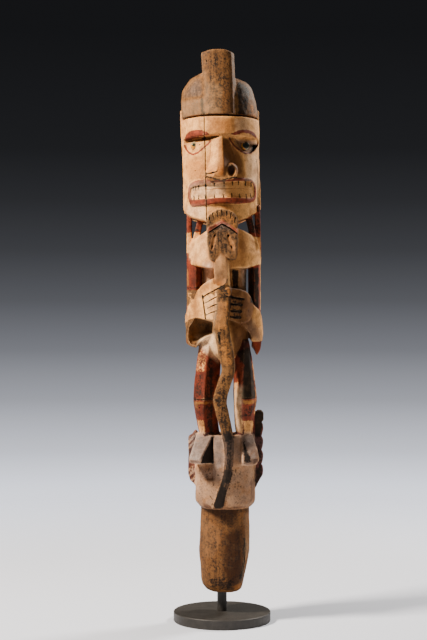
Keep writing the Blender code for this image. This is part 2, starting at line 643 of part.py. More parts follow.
def build_eye(name, place, parts, material):
    """A domed shell cap on its round seat."""
    shape = bmesh.new()
    rings = [(EYE_RADIUS, -EYE_SEAT), (EYE_RADIUS, 0.0)]
    rings += [(EYE_RADIUS * cos(turn), EYE_RISE * sin(turn)) for turn in (radians(30), radians(60))]
    levels = []
    for radius, rise in rings:
        ring = [(radius * cos(2 * pi * step / 16), radius * sin(2 * pi * step / 16), rise) for step in range(16)]
        levels.append([shape.verts.new(point) for point in ring])
    for below, above in zip(levels, levels[1:]):
        for step in range(16):
            after = (step + 1) % 16
            shape.faces.new((below[step], below[after], above[after], above[step]))
    shape.faces.new(levels[0][::-1])
    crown = shape.verts.new((0, 0, EYE_RISE))
    for step in range(16):
        shape.faces.new((levels[-1][step], levels[-1][(step + 1) % 16], crown))
    side = -1 if place[0] < 0 else 1
    aim = Matrix.Rotation(side * EYE_TURN, 4, "Z") @ Matrix.Rotation(pi / 2, 4, "X")
    bmesh.ops.transform(shape, matrix=Matrix.Translation(place) @ aim, verts=shape.verts)
    made = object_from(name, shape, parts)
    made.data.materials.append(material)
    made.data.shade_smooth()
    return made


def build_stand(parts, material):
    """The disc on the floor and the rod that rises from it into the tang."""
    disc = drum("stand_disc", DISC_RADIUS, 0.0, DISC_HEIGHT, parts, sides=64)
    rim = disc.modifiers.new("rim", "BEVEL")
    rim.width = DISC_EDGE
    rim.segments = 1
    rod = drum("stand_rod", ROD_RADIUS, DISC_HEIGHT + GAP, TANG_FOOT + ROD_REACH, parts, sides=32)
    for piece in (disc, rod):
        piece.data.materials.append(material)
        piece.data.shade_smooth()
        piece.data.set_sharp_from_angle(angle=radians(35))


def main():
    """Build the figure and its stand."""
    clear_scene()
    parts = collection_named(OBJECT)
    shapes = collection_named("carving shapes")
    wood = material_named(*WOOD)
    shell = material_named(*SHELL)
    steel = material_named(*STEEL)
    build_figure(parts, shapes, wood)
    build_eye("left_eye_shell", LEFT_EYE, parts, shell)
    build_eye("right_eye_shell", RIGHT_EYE, parts, shell)
    build_stand(parts, steel)


main()
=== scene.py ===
"""Looks of the malagan figure: one carved and painted log with shell eyes, on a steel rod and disc.

Metres, +Z up. The figure faces -Y, and "left" and "right" are the viewer's, so left is -X. The carving is
worked like the real one: masses are left standing in the log, hollows and slots are cut out of them, the
whole is smoothed by the adze, fine lines are cut last, and then it is painted.
"""

import logging
from collections.abc import Callable, Sequence
from dataclasses import dataclass, field
from enum import Enum
from math import cos, pi, radians, sin, sqrt

import bmesh
import bpy
import numpy as np
from mathutils import Matrix, Vector
from mathutils.bvhtree import BVHTree


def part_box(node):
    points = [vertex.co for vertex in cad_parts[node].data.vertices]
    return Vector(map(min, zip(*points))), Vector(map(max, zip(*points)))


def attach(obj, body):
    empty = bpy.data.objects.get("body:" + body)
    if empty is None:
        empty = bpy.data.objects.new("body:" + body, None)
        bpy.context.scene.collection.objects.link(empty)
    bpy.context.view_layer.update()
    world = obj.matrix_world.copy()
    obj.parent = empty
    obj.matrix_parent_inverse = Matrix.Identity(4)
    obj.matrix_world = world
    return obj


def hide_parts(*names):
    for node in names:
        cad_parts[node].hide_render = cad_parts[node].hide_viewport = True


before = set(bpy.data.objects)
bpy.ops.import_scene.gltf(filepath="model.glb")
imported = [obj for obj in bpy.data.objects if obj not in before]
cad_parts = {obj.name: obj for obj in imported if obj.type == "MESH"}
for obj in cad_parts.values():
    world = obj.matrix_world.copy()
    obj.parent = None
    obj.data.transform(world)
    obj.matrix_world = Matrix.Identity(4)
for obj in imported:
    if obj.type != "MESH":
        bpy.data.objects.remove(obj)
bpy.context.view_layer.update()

LOG = logging.getLogger("malagan_figure")

Point2 = tuple[float, float]
Point3 = tuple[float, float, float]
Ring = list[Point3]
Station = tuple[float, float, float, float, float]
Colour = tuple[float, float, float, float]
Line = Sequence[Point2]
Solid = bpy.types.Object
Socket = bpy.types.NodeSocket


class Coat(Enum):
    """What covers the wood at a place."""

    BARE = "bare"
    LIME = "lime"
    RED = "red"
    OCHRE = "ochre"
    BLACK = "black"


BARE, LIME, RED, OCHRE, BLACK = Coat


class Cut(Enum):
    """How a Boolean works one solid with another."""

    TAKE = "DIFFERENCE"
    KEEP = "INTERSECT"


# ---- outlines and rings


def eased(rows: Sequence[Sequence[float]], between: int = 4, closed: bool = False) -> list[tuple[float, ...]]:
    """Draw a smooth curve through rows of numbers.

    Args:
        rows: the points or stations that the curve passes through.
        between: how many steps each stretch gets.
        closed: whether the curve returns to its start.

    Returns:
        The rows of the curve, ends included.
    """
    given = np.array(rows, float)
    if closed:
        padded = np.vstack([given[-1], given, given[0], given[1]])
    else:
        padded = np.vstack([2 * given[0] - given[1], given, 2 * given[-1] - given[-2]])
    curve = []
    for a, b, c, d in zip(padded, padded[1:], padded[2:], padded[3:]):
        for step in range(between):
            t = step / between
            bend, twist = 2 * a - 5 * b + 4 * c - d, 3 * b - a - 3 * c + d
            curve.append(0.5 * (2 * b + (c - a) * t + bend * t**2 + twist * t**3))
    if not closed:
        curve.append(given[-1])
    return [tuple(float(value) for value in row) for row in curve]


def level_ring(station: Station, squareness: float = 1.0, sides: int = 72) -> Ring:
    """Lay a level section of the log: two half ellipses, boxier as squareness falls below 1.

    Args:
        station: level, middle, half width, depth in front of the axis and behind it.
        squareness: 1 for an ellipse, less for a boxier section.
        sides: how many corners the ring has.

    Returns:
        The ring's corners.
    """
    level, middle, half_width, front, back = station
    ring = []
    for index in range(sides):
        turn = 2 * pi * index / sides
        across = abs(cos(turn)) ** squareness * (1 if cos(turn) > 0 else -1)
        along = abs(sin(turn)) ** squareness
        ring.append((middle + half_width * across, back * along if sin(turn) > 0 else -front * along, level))
    return ring


def between_points(start: Point2, end: Point2, gap: float = 0.004) -> list[Point2]:
    """Points along a straight line, no further apart than the gap, without its end.

    Args:
        start: where the line starts.
        end: where it ends.
        gap: the widest gap between points.

    Returns:
        The points.
    """
    reach = Vector(end) - Vector(start)
    count = max(1, round(reach.length / gap))
    return [tuple(Vector(start) + reach * step / count) for step in range(count)]


def walked(path: Line) -> list[Point2]:
    """The same path with points added along its stretches.

    Args:
        path: the path's corners.

    Returns:
        The path with its new points.
    """
    points: list[Point2] = []
    for start, end in zip(path, path[1:]):
        points += between_points(start, end)
    return [*points, path[-1]]


# ---- bench


class Bench:
    """The carver's bench: closed solids are raised, joined and cut here."""

    MASS = "mass"

    def clear(self) -> None:
        """Deselect everything."""
        bpy.ops.object.select_all(action="DESELECT")

    def take_up(self, piece: Solid) -> None:
        """Make one piece the only selected and active one.

        Args:
            piece: the piece.
        """
        self.clear()
        piece.select_set(True)
        bpy.context.view_layer.objects.active = piece

    def start(self, name: str, corners: int) -> Solid:
        """Add a filled circle and open it in edit mode, with its corners numbered.

        Args:
            name: the piece's name.
            corners: how many corners it has.

        Returns:
            The piece, in edit mode.
        """
        self.clear()
        bpy.ops.mesh.primitive_circle_add(vertices=corners, radius=0.05, fill_type="NGON")
        piece = bpy.context.object
        piece.name = piece.data.name = name
        bpy.ops.object.mode_set(mode="EDIT")
        shape = bmesh.from_edit_mesh(piece.data)
        order = shape.verts.layers.int.new("order")
        for index, corner in enumerate(shape.verts):
            corner[order] = index
        return piece

    def place(self, piece: Solid, ring: Ring) -> None:
        """Move the selected corners to a ring.

        Args:
            piece: the piece, in edit mode.
            ring: where its corners go, by number.
        """
        shape = bmesh.from_edit_mesh(piece.data)
        order = shape.verts.layers.int["order"]
        for corner in shape.verts:
            if corner.select:
                corner.co = ring[corner[order]]
        bmesh.update_edit_mesh(piece.data)

    def close(self, piece: Solid) -> Solid:
        """Turn the faces out, cut them to triangles and leave edit mode.

        Args:
            piece: the piece, in edit mode.

        Returns:
            The finished piece.
        """
        bpy.ops.mesh.select_all(action="SELECT")
        bpy.ops.mesh.quads_convert_to_tris()
        bpy.ops.mesh.normals_make_consistent(inside=False)
        bpy.ops.object.mode_set(mode="OBJECT")
        piece.data.attributes.remove(piece.data.attributes["order"])
        return piece

    def rise(self, name: str, rings: Sequence[Ring]) -> Solid:
        """Extrude a closed solid from ring to ring.

        Args:
            name: the piece's name.
            rings: its rings, each with as many corners.

        Returns:
            The piece.
        """
        piece = self.start(name, len(rings[0]))
        self.place(piece, rings[0])
        for ring in rings[1:]:
            bpy.ops.mesh.extrude_region_move()
            self.place(piece, ring)
        return self.close(piece)

    def log(self, name: str, stations: Sequence[Station], squareness: float = 1.0, between: int = 4,
            sides: int = 72) -> Solid:
        """Raise a stretch of the log through level stations."""
        rows = eased(stations, between) if between > 1 else stations
        return self.rise(name, [level_ring(row, squareness, sides) for row in rows])

    def slab(self, name: str, outline: Line, front: float = -0.2, back: float = 0.2) -> Solid:
        """Raise a flat outline of (x, z) points from y = front to y = back."""
        return self.rise(name, [[(x, depth, z) for x, z in outline] for depth in (front, back)])

    def lump(self, name: str, corners: Sequence[Point3]) -> Solid:
        """Wrap a few corners in their convex hull.

        Args:
            name: the piece's name.
            corners: the corners.

        Returns:
            The piece.
        """
        piece = self.start(name, len(corners))
        self.place(piece, list(corners))
        bpy.ops.mesh.convex_hull()
        return self.close(piece)

    def ball(self, name: str, middle: Point3, radii: Point3, steps: int = 32) -> Solid:
        """Add an ellipsoid.

        Args:
            name: the piece's name.
            middle: its centre.
            radii: its radii along x, y and z.
            steps: how many steps go round it.

        Returns:
            The piece.
        """
        self.clear()
        bpy.ops.mesh.primitive_uv_sphere_add(segments=steps, ring_count=steps // 2, radius=1.0)
        piece = bpy.context.object
        piece.name = piece.data.name = name
        piece.data.transform(Matrix.LocRotScale(Vector(middle), None, Vector(radii)))
        return piece

    def work(self, piece: Solid, tool: Solid, cut: Cut) -> None:
        """Apply a Boolean of the tool to the piece, and throw the tool away.

        Args:
            piece: what is worked.
            tool: the solid that works it.
            cut: whether the tool is taken away, or only what lies inside it is kept.
        """
        self.take_up(piece)
        step = piece.modifiers.new(cut.name, "BOOLEAN")
        step.object = tool
        step.operation = cut.value
        step.solver = "MANIFOLD"
        bpy.ops.object.modifier_apply(modifier=step.name)
        bpy.data.objects.remove(tool, do_unlink=True)

    def join(self, name: str, pieces: Sequence[Solid]) -> Solid:
        """Join pieces into one mesh, each face keeping the number of the mass it came from.

        Args:
            name: the whole's name.
            pieces: the pieces.

        Returns:
            The whole.
        """
        for number, piece in enumerate(pieces):
            layer = piece.data.attributes.new(self.MASS, "INT", "FACE")
            layer.data.foreach_set("value", [number] * len(piece.data.polygons))
        whole = self.gang(pieces)
        whole.name = whole.data.name = name
        return whole

    def gang(self, tools: Sequence[Solid]) -> Solid:
        """Join tools that don't touch each other, so that they cut together.

        Args:
            tools: the tools.

        Returns:
            All of them as one.
        """
        self.take_up(tools[0])
        for tool in tools:
            tool.select_set(True)
        bpy.ops.object.join()
        return tools[0]

    def finish_with(self, piece: Solid, kind: str, **settings: object) -> None:
        """Apply one modifier with these settings.

        Args:
            piece: what is worked.
            kind: the modifier's kind.
            settings: the modifier's settings.
        """
        self.take_up(piece)
        step = piece.modifiers.new(kind.title(), kind)
        for name, value in settings.items():
            setattr(step, name, value)
        bpy.ops.object.modifier_apply(modifier=step.name)

    def over_log(self, name: str, outline: Line, core: Sequence[Station]) -> Solid:
        """Make the tool that takes away what stands in front of a core, inside an outline.

        Args:
            name: the tool's name.
            outline: (x, z) points.
            core: level stations of what is left standing.

        Returns:
            The tool.
        """
        tool = self.slab(name, outline, -0.2, -0.01)
        self.work(tool, self.log(f"{name} core", core, between=1, sides=160), Cut.TAKE)
        return tool

    def dish(self, name: str, outline: Line, mouth: float, floor: float, middle: Point2, draw: float) -> Solid:
        """Make the tool of a hollow whose sides slant in to a smaller floor.

        Args:
            name: the tool's name.
            outline: the hollow's rim, as (x, z) points.
            mouth: how far in front of the axis the rim lies.
            floor: how far in front of the axis the floor lies.
            middle: where the sides slant to.
            draw: how much of the way they slant.

        Returns:
            The tool.
        """
        rings = []
        for depth, share in ((-0.2, 0.0), (-mouth, 0.0), (-0.35 * mouth - 0.65 * floor, 0.45 * draw), (-floor, draw)):
            rings.append([(x + share * (middle[0] - x), depth, z + share * (middle[1] - z)) for x, z in outline])
        return self.rise(name, rings)

    def in_log(self, name: str, outline: Line, stations: Sequence[Station], back: float) -> Solid:
        """Raise an outline and trim its front to the round of the log.

        Args:
            name: the piece's name.
            outline: (x, z) points.
            stations: level stations of the log.
            back: y of its back.

        Returns:
            The piece.
        """
        piece = self.slab(name, outline, -0.2, back)
        self.work(piece, self.log(f"{name} round", stations, between=1, sides=160), Cut.KEEP)
        return piece


def report(work: str, piece: Solid) -> None:
    """Say how far a piece has come."""
    LOG.info("%s: %d faces", work, len(piece.data.polygons))


def feel(piece: Solid) -> BVHTree:
    """Take the skin of a piece as it stands, to be felt by rays."""
    return BVHTree.FromObject(piece, bpy.context.evaluated_depsgraph_get())


def read_all(items: Sequence, name: str, width: int, kind: type) -> np.ndarray:
    """Read rows of numbers of this width from all the corners, edges or faces of a mesh.

    Args:
        items: the corners, edges or faces.
        name: what is read.
        width: how many numbers each has.
        kind: the kind of number.

    Returns:
        One row of numbers for each item.
    """
    values = np.empty(len(items) * width, kind)
    items.foreach_get(name, values)
    return values.reshape(-1, width)


def mm(*sizes: float, row: int = 2) -> tuple[tuple[float, ...], ...]:
    """Turn millimetres into rows of metres: (x, z) points, or stations where a row is longer."""
    metres = [round(size / 1000, 6) for size in sizes]
    return tuple(tuple(metres[at:at + row]) for at in range(0, len(metres), row))


@dataclass(frozen=True)
class Dab:
    """Paint, or bare wood, laid over a place seen from the front.

    The outline is a closed patch, or the middle line of a stroke if it has a width. A strength below 1 leaves
    only flecks of it.
    """

    coat: Coat
    outline: tuple[Point2, ...]
    strength: float = 1.0
    soft: float = 0.003
    width: float = 0.0
    around: bool = False

    def hold(self) -> float:
        """How firmly the paint holds, on the scale on which the finish breaks it up."""
        return 1.0 if self.strength >= 1 else 0.5 + (self.strength - 0.5) * 0.42


@dataclass(frozen=True)
class StainShadeAndLight:
    """A place turned warmer or, below 0, greyer, and darker or, below 0, paler. Some are stains; many of the darker
    ones are painted shade, and some paler ones painted light.

    It stays on the front unless it goes around the log.
    """

    outline: tuple[Point2, ...]
    warm: float
    dark: float
    soft: float = 0.007
    width: float = 0.0
    around: bool = False


Mark = Dab | StainShadeAndLight


@dataclass
class Mass:
    """One mass of the carving and what it is painted with."""

    solid: Solid
    coat: Coat


@dataclass
class Painter:
    """Lays coats, stains, painted shade, painted light and rubbing on the skin, as one value for each of its corners.
    """

    figure: Solid
    back_of_view: float = 0.02
    least_soft: float = 0.0035
    lift_off: float = 0.0004
    rays: int = 12
    near_reach: float = 0.007
    far_reach: float = 0.055

    def __post_init__(self) -> None:
        """Read the skin's corners and edges."""
        mesh = self.figure.data
        self.spots = read_all(mesh.vertices, "co", 3, float)
        self.outward = read_all(mesh.vertex_normals, "vector", 3, np.float32).astype(float)
        self.pairs = read_all(mesh.edges, "vertices", 2, int)
        self.ties = np.bincount(self.pairs.ravel(), minlength=len(self.spots)).astype(float)

    def spread(self, values: np.ndarray, rounds: int = 1) -> np.ndarray:
        """Even values out between neighbouring corners.

        Args:
            values: a value for each corner.
            rounds: how often they are evened out.

        Returns:
            The new values.
        """
        one, two = self.pairs.T
        for _ in range(rounds):
            total = np.bincount(one, values[two], len(values)) + np.bincount(two, values[one], len(values))
            values = 0.5 * values + 0.5 * total / self.ties
        return values

    def cover(self, mark: Mark) -> np.ndarray:
        """How much of a dab or a stain each corner gets, from 0 to 1.

        Args:
            mark: the dab or stain.

        Returns:
            A share for each corner.
        """
        share = np.zeros(len(self.spots))
        line = np.array(mark.outline)
        soft = max(mark.soft, self.least_soft)
        reach = soft + mark.width
        low, high = line.min(0) - reach, line.max(0) + reach
        x, y, z = self.spots.T
        front = (y < self.back_of_view) | mark.around
        near = np.nonzero((x > low[0]) & (x < high[0]) & (z > low[1]) & (z < high[1]) & front)[0]
        spot = self.spots[near][:, (0, 2)]
        closed = mark.width == 0
        far, inside = np.full(len(near), 1.0), np.zeros(len(near), bool)
        for start, end in zip(line, np.roll(line, -1, 0) if closed else line[1:]):
            run = end - start
            along = np.clip(((spot - start) @ run) / max(run @ run, 1e-12), 0, 1)
            far = np.minimum(far, np.hypot(*(spot - start - along[:, None] * run).T))
            if closed and run[1] != 0:
                crossed = (spot[:, 1] < start[1]) != (spot[:, 1] < end[1])
                inside ^= crossed & (spot[:, 0] < start[0] + (spot[:, 1] - start[1]) * run[0] / run[1])
        depth = np.where(inside, far, -far) if closed else mark.width / 2 - far
        share[near] = np.clip(0.5 + 0.5 * depth / soft, 0, 1)
        return share

    def coats(self, rough: BVHTree, numbers: Sequence[int], masses: Sequence[Mass], marks: Sequence[Mark]) -> None:
        """Lay the ground coat of each mass, then every dab, stain, painted shade and painted light in turn.

        Args:
            rough: the skin of the masses before they were smoothed into one.
            numbers: which mass each face of the rough skin is of.
            masses: the masses.
            marks: the dabs, stains, painted shade and painted light.
        """
        order = list(Coat)
        grounds = [order.index(mass.coat) for mass in masses]
        layers = np.zeros((len(order), len(self.spots)))
        for index, spot in enumerate(self.spots):
            layers[grounds[numbers[rough.find_nearest(spot)[2]]], index] = 1
        layers = np.array([self.spread(layer, 4) for layer in layers])
        warm, dark = np.zeros(len(self.spots)), np.zeros(len(self.spots))
        for mark in marks:
            share = self.cover(mark)
            if isinstance(mark, StainShadeAndLight):
                warm += share * mark.warm
                dark += share * mark.dark
                continue
            share *= mark.hold()
            place = order.index(mark.coat)
            layers[place:] *= 1 - share
            layers[place] += share
        for coat, layer in zip(order, layers):
            if coat is not BARE:
                self.keep(coat.value, layer)
        # warm and dark: stains; dark above 0 is also painted shade, and below 0 painted light
        self.keep("warm", self.spread(warm, 2))
        self.keep("dark", self.spread(dark, 2))

    def wear_and_shade(self) -> None:
        """Feel out the edges that hands have rubbed, and the hollows that soiling and painted shade darken."""
        one, two = self.pairs.T
        run = self.spots[two] - self.spots[one]
        run /= np.maximum(np.linalg.norm(run, axis=1), 1e-9)[:, None]
        bend = np.bincount(one, -np.einsum("ij,ij->i", run, self.outward[one]), len(self.spots))
        bend += np.bincount(two, np.einsum("ij,ij->i", run, self.outward[two]), len(self.spots))
        self.keep("edge", self.spread(bend / self.ties, 1))
        skin = feel(self.figure)
        fan = []
        for step in range(self.rays):
            rise = sqrt(1 - (step + 0.5) / self.rays)
            turn = step * pi * (3 - sqrt(5))
            fan.append(Vector((sqrt(1 - rise * rise) * cos(turn), sqrt(1 - rise * rise) * sin(turn), rise)))
        # near and far count how closely each corner is hemmed in; they darken cuts and hollows as soiling and as
        # painted shade
        near, far = np.zeros(len(self.spots)), np.zeros(len(self.spots))
        for index, (spot, outward) in enumerate(zip(self.spots, self.outward)):
            up = Vector(outward)
            turned = up.to_track_quat("Z", "Y").to_matrix()
            start = Vector(spot) + up * self.lift_off
            for ray in fan:
                reach = skin.ray_cast(start, turned @ ray, self.far_reach)[3]
                if reach is not None:
                    far[index] += 1
                    near[index] += reach < self.near_reach
        self.keep("near", self.spread(near / self.rays, 1))
        self.keep("far", self.spread(far / self.rays, 1))

    def keep(self, name: str, values: np.ndarray) -> None:
        """Store one value for each corner."""
        layer = self.figure.data.attributes.new(name, "FLOAT", "POINT")
        layer.data.foreach_set("value", values.astype(np.float32))


# ---- finishes


class Wiring:
    """A node tree in the making: each call adds a node already joined to what feeds it."""

    def __init__(self, tree: bpy.types.NodeTree) -> None:
        """Take up the tree."""
        self.tree = tree

    def add(self, kind: str, feeds: dict[str | int, object] | None = None, **settings: object) -> bpy.types.Node:
        """Add a node.

        Args:
            kind: the node's type, without its leading word.
            feeds: what each input gets, a socket or a value.
            settings: the node's own settings.

        Returns:
            The node.
        """
        node = self.tree.nodes.new("ShaderNode" + kind)
        for name, value in settings.items():
            setattr(node, name, value)
        for name, value in (feeds or {}).items():
            if isinstance(value, Socket):
                self.tree.links.new(value, node.inputs[name])
            else:
                node.inputs[name].default_value = value
        return node

    def maths(self, operation: str, *values: object, clamp: bool = False) -> Socket:
        """Work out one number from others."""
        return self.add("Math", dict(enumerate(values)), operation=operation, use_clamp=clamp).outputs[0]

    def vector(self, operation: str, *values: object, gives: int | str = 0) -> Socket:
        """Work out one vector, or one number, from vectors."""
        return self.add("VectorMath", dict(enumerate(values)), operation=operation).outputs[gives]

    def mix(self, share: object, under: object, over: object, blend: str = "MIX") -> Socket:
        """Mix two colours."""
        return self.add("Mix", {0: share, 6: under, 7: over}, data_type="RGBA", blend_type=blend).outputs[2]

    def span(self, value: object, low: float = 0, high: float = 1, least: float = 0, most: float = 1) -> Socket:
        """Carry a value from one range to another."""
        return self.add("MapRange", {0: value, 1: low, 2: high, 3: least, 4: most}).outputs[0]

    def step(self, value: object, low: float, high: float) -> Socket:
        """Rise smoothly from 0 to 1 between two values."""
        return self.add("MapRange", {0: value, 1: low, 2: high}, interpolation_type="SMOOTHSTEP").outputs[0]

    def noise(self, place: object, scale: object, detail: float = 2.0, roughness: float = 0.5) -> Socket:
        """Add a cloud of noise."""
        feeds = {"Vector": place, "Scale": scale, "Detail": detail, "Roughness": roughness}
        return self.add("TexNoise", feeds).outputs[0]

    def blend(self, *shares: tuple[object, float]) -> Socket:
        """Add values up, each by its share.

        Args:
            shares: each value with its share.

        Returns:
            Their sum.
        """
        total = None
        for value, share in shares:
            part = value if share == 1.0 else self.maths("MULTIPLY", value, share)
            total = part if total is None else self.maths("ADD", total, part)
        return total

    def group(self, tree: bpy.types.NodeTree, **feeds: object) -> bpy.types.NodeOutputs:
        """Place a shared effect, and give its outputs."""
        return self.add("Group", feeds, node_tree=tree).outputs

    def layer(self, name: str) -> Socket:
        """Read one of the skin's own values."""
        return self.add("Attribute", attribute_name=name).outputs["Fac"]


def rgb(red: float, green: float, blue: float) -> Colour:
    """A colour with full alpha."""
    return (red, green, blue, 1.0)


def new_finish(name: str) -> tuple[bpy.types.Material, Wiring, bpy.types.NodeInputs]:
    """Start a finish: its material, its wiring and the sockets of its shader.

    Args:
        name: the material's name.

    Returns:
        The material, its wiring and its shader's sockets.
    """
    material = bpy.data.materials.new(name)
    material.use_nodes = True
    shader = material.node_tree.nodes["Principled BSDF"].inputs
    return material, Wiring(material.node_tree), shader


class Effects:
    """Node groups that the finishes share."""

    def __init__(self) -> None:
        """Build every group once."""
        self.grain = self.group("grain", {"Place": "Vector"}, {"Streak": "Float", "Fibre": "Float"}, self.fill_grain)
        self.mottle = self.group("mottle", {"Place": "Vector", "Size": "Float"},
            {"Broad": "Float", "Blotch": "Float", "Fleck": "Float", "Speck": "Float"}, self.fill_mottle)
        self.film = self.group("paint film", {"Under": "Color", "Under height": "Float", "Light tone": "Color",
            "Deep tone": "Color", "Tone": "Float", "Amount": "Float", "Ragged": "Float"},
            {"Colour": "Color", "Height": "Float", "Mask": "Float"}, self.fill_film)
        # soiling and painted shade: darkens cuts and hollows by how hemmed in they are
        self.grime = self.group("grime", {"Under": "Color", "SoilingAndShade": "Color", "Near": "Float", "Far": "Float",
            "Fleck": "Float"}, {"Colour": "Color", "Mask": "Float"}, self.fill_dirt_and_shade)

    def group(self, name: str, takes: dict[str, str], gives: dict[str, str], fill: Callable) -> bpy.types.NodeTree:
        """Build one node group.

        Args:
            name: the group's name.
            takes: its inputs and their kinds.
            gives: its outputs and their kinds.
            fill: the method that wires it, from its input node to a value for each output.

        Returns:
            The group.
        """
        tree = bpy.data.node_groups.new(name, "ShaderNodeTree")
        for in_out, sockets in (("INPUT", takes), ("OUTPUT", gives)):
            for socket, kind in sockets.items():
                tree.interface.new_socket(socket, in_out=in_out, socket_type="NodeSocket" + kind)
        source = tree.nodes.new("NodeGroupInput").outputs
        sink = tree.nodes.new("NodeGroupOutput").inputs
        for socket, value in fill(Wiring(tree), source).items():
            tree.links.new(value, sink[socket])
        return tree

    def fill_grain(self, wires: Wiring, source: bpy.types.NodeOutputs) -> dict[str, Socket]:
        """Long streaks and fine fibres that run up the log.

        Args:
            wires: the group's wiring.
            source: what the group takes in.

        Returns:
            A value for each output.
        """
        coarse = wires.vector("MULTIPLY", source["Place"], (150.0, 150.0, 7.0))
        fine = wires.vector("MULTIPLY", source["Place"], (620.0, 620.0, 26.0))
        return {"Streak": wires.noise(coarse, 1.0, 3.0, 0.6), "Fibre": wires.noise(fine, 1.0, 2.0, 0.6)}

    def fill_mottle(self, wires: Wiring, source: bpy.types.NodeOutputs) -> dict[str, Socket]:
        """Unevenness at four sizes, each about a quarter of the last.

        Args:
            wires: the group's wiring.
            source: what the group takes in.

        Returns:
            A value for each output.
        """
        sizes = (("Broad", 1.0, 2.0), ("Blotch", 4.0, 3.0), ("Fleck", 15.0, 3.0), ("Speck", 48.0, 2.0))
        given = {}
        for name, finer, detail in sizes:
            scale = wires.maths("DIVIDE", finer, source["Size"])
            given[name] = wires.noise(source["Place"], scale, detail, 0.6)
        return given

    def fill_film(self, wires: Wiring, source: bpy.types.NodeOutputs) -> dict[str, Socket]:
        """A coat of paint that breaks up at its ragged edge and stands a little proud.

        Args:
            wires: the group's wiring.
            source: what the group takes in.

        Returns:
            A value for each output.
        """
        rough = wires.maths("MULTIPLY", wires.maths("SUBTRACT", source["Ragged"], 0.5), 0.46)
        mask = wires.step(wires.maths("ADD", source["Amount"], rough), 0.42, 0.58)
        paint = wires.mix(source["Tone"], source["Deep tone"], source["Light tone"])
        height = wires.maths("ADD", source["Under height"], wires.maths("MULTIPLY", mask, 0.35))
        return {"Colour": wires.mix(mask, source["Under"], paint), "Height": height, "Mask": mask}

    def fill_dirt_and_shade(self, wires: Wiring, source: bpy.types.NodeOutputs) -> dict[str, Socket]:
        """Soiling and painted shade, darkening cuts and, more thinly, hollows.

        Args:
            wires: the group's wiring.
            source: what the group takes in.

        Returns:
            A value for each output.
        """
        deep = wires.step(source["Near"], 0.3, 0.85)
        thin = wires.maths("MULTIPLY", wires.step(source["Far"], 0.25, 1.0), 0.35)
        uneven = wires.maths("MULTIPLY", wires.maths("ADD", source["Fleck"], 0.5), wires.maths("MAXIMUM", deep, thin),
            clamp=True)
        return {"Colour": wires.mix(uneven, source["Under"], source["SoilingAndShade"]), "Mask": uneven}


@dataclass(frozen=True)
class Pigment:
    """A paint's two tones: where it is sound and where it is thin or soiled."""

    light: Colour
    deep: Colour


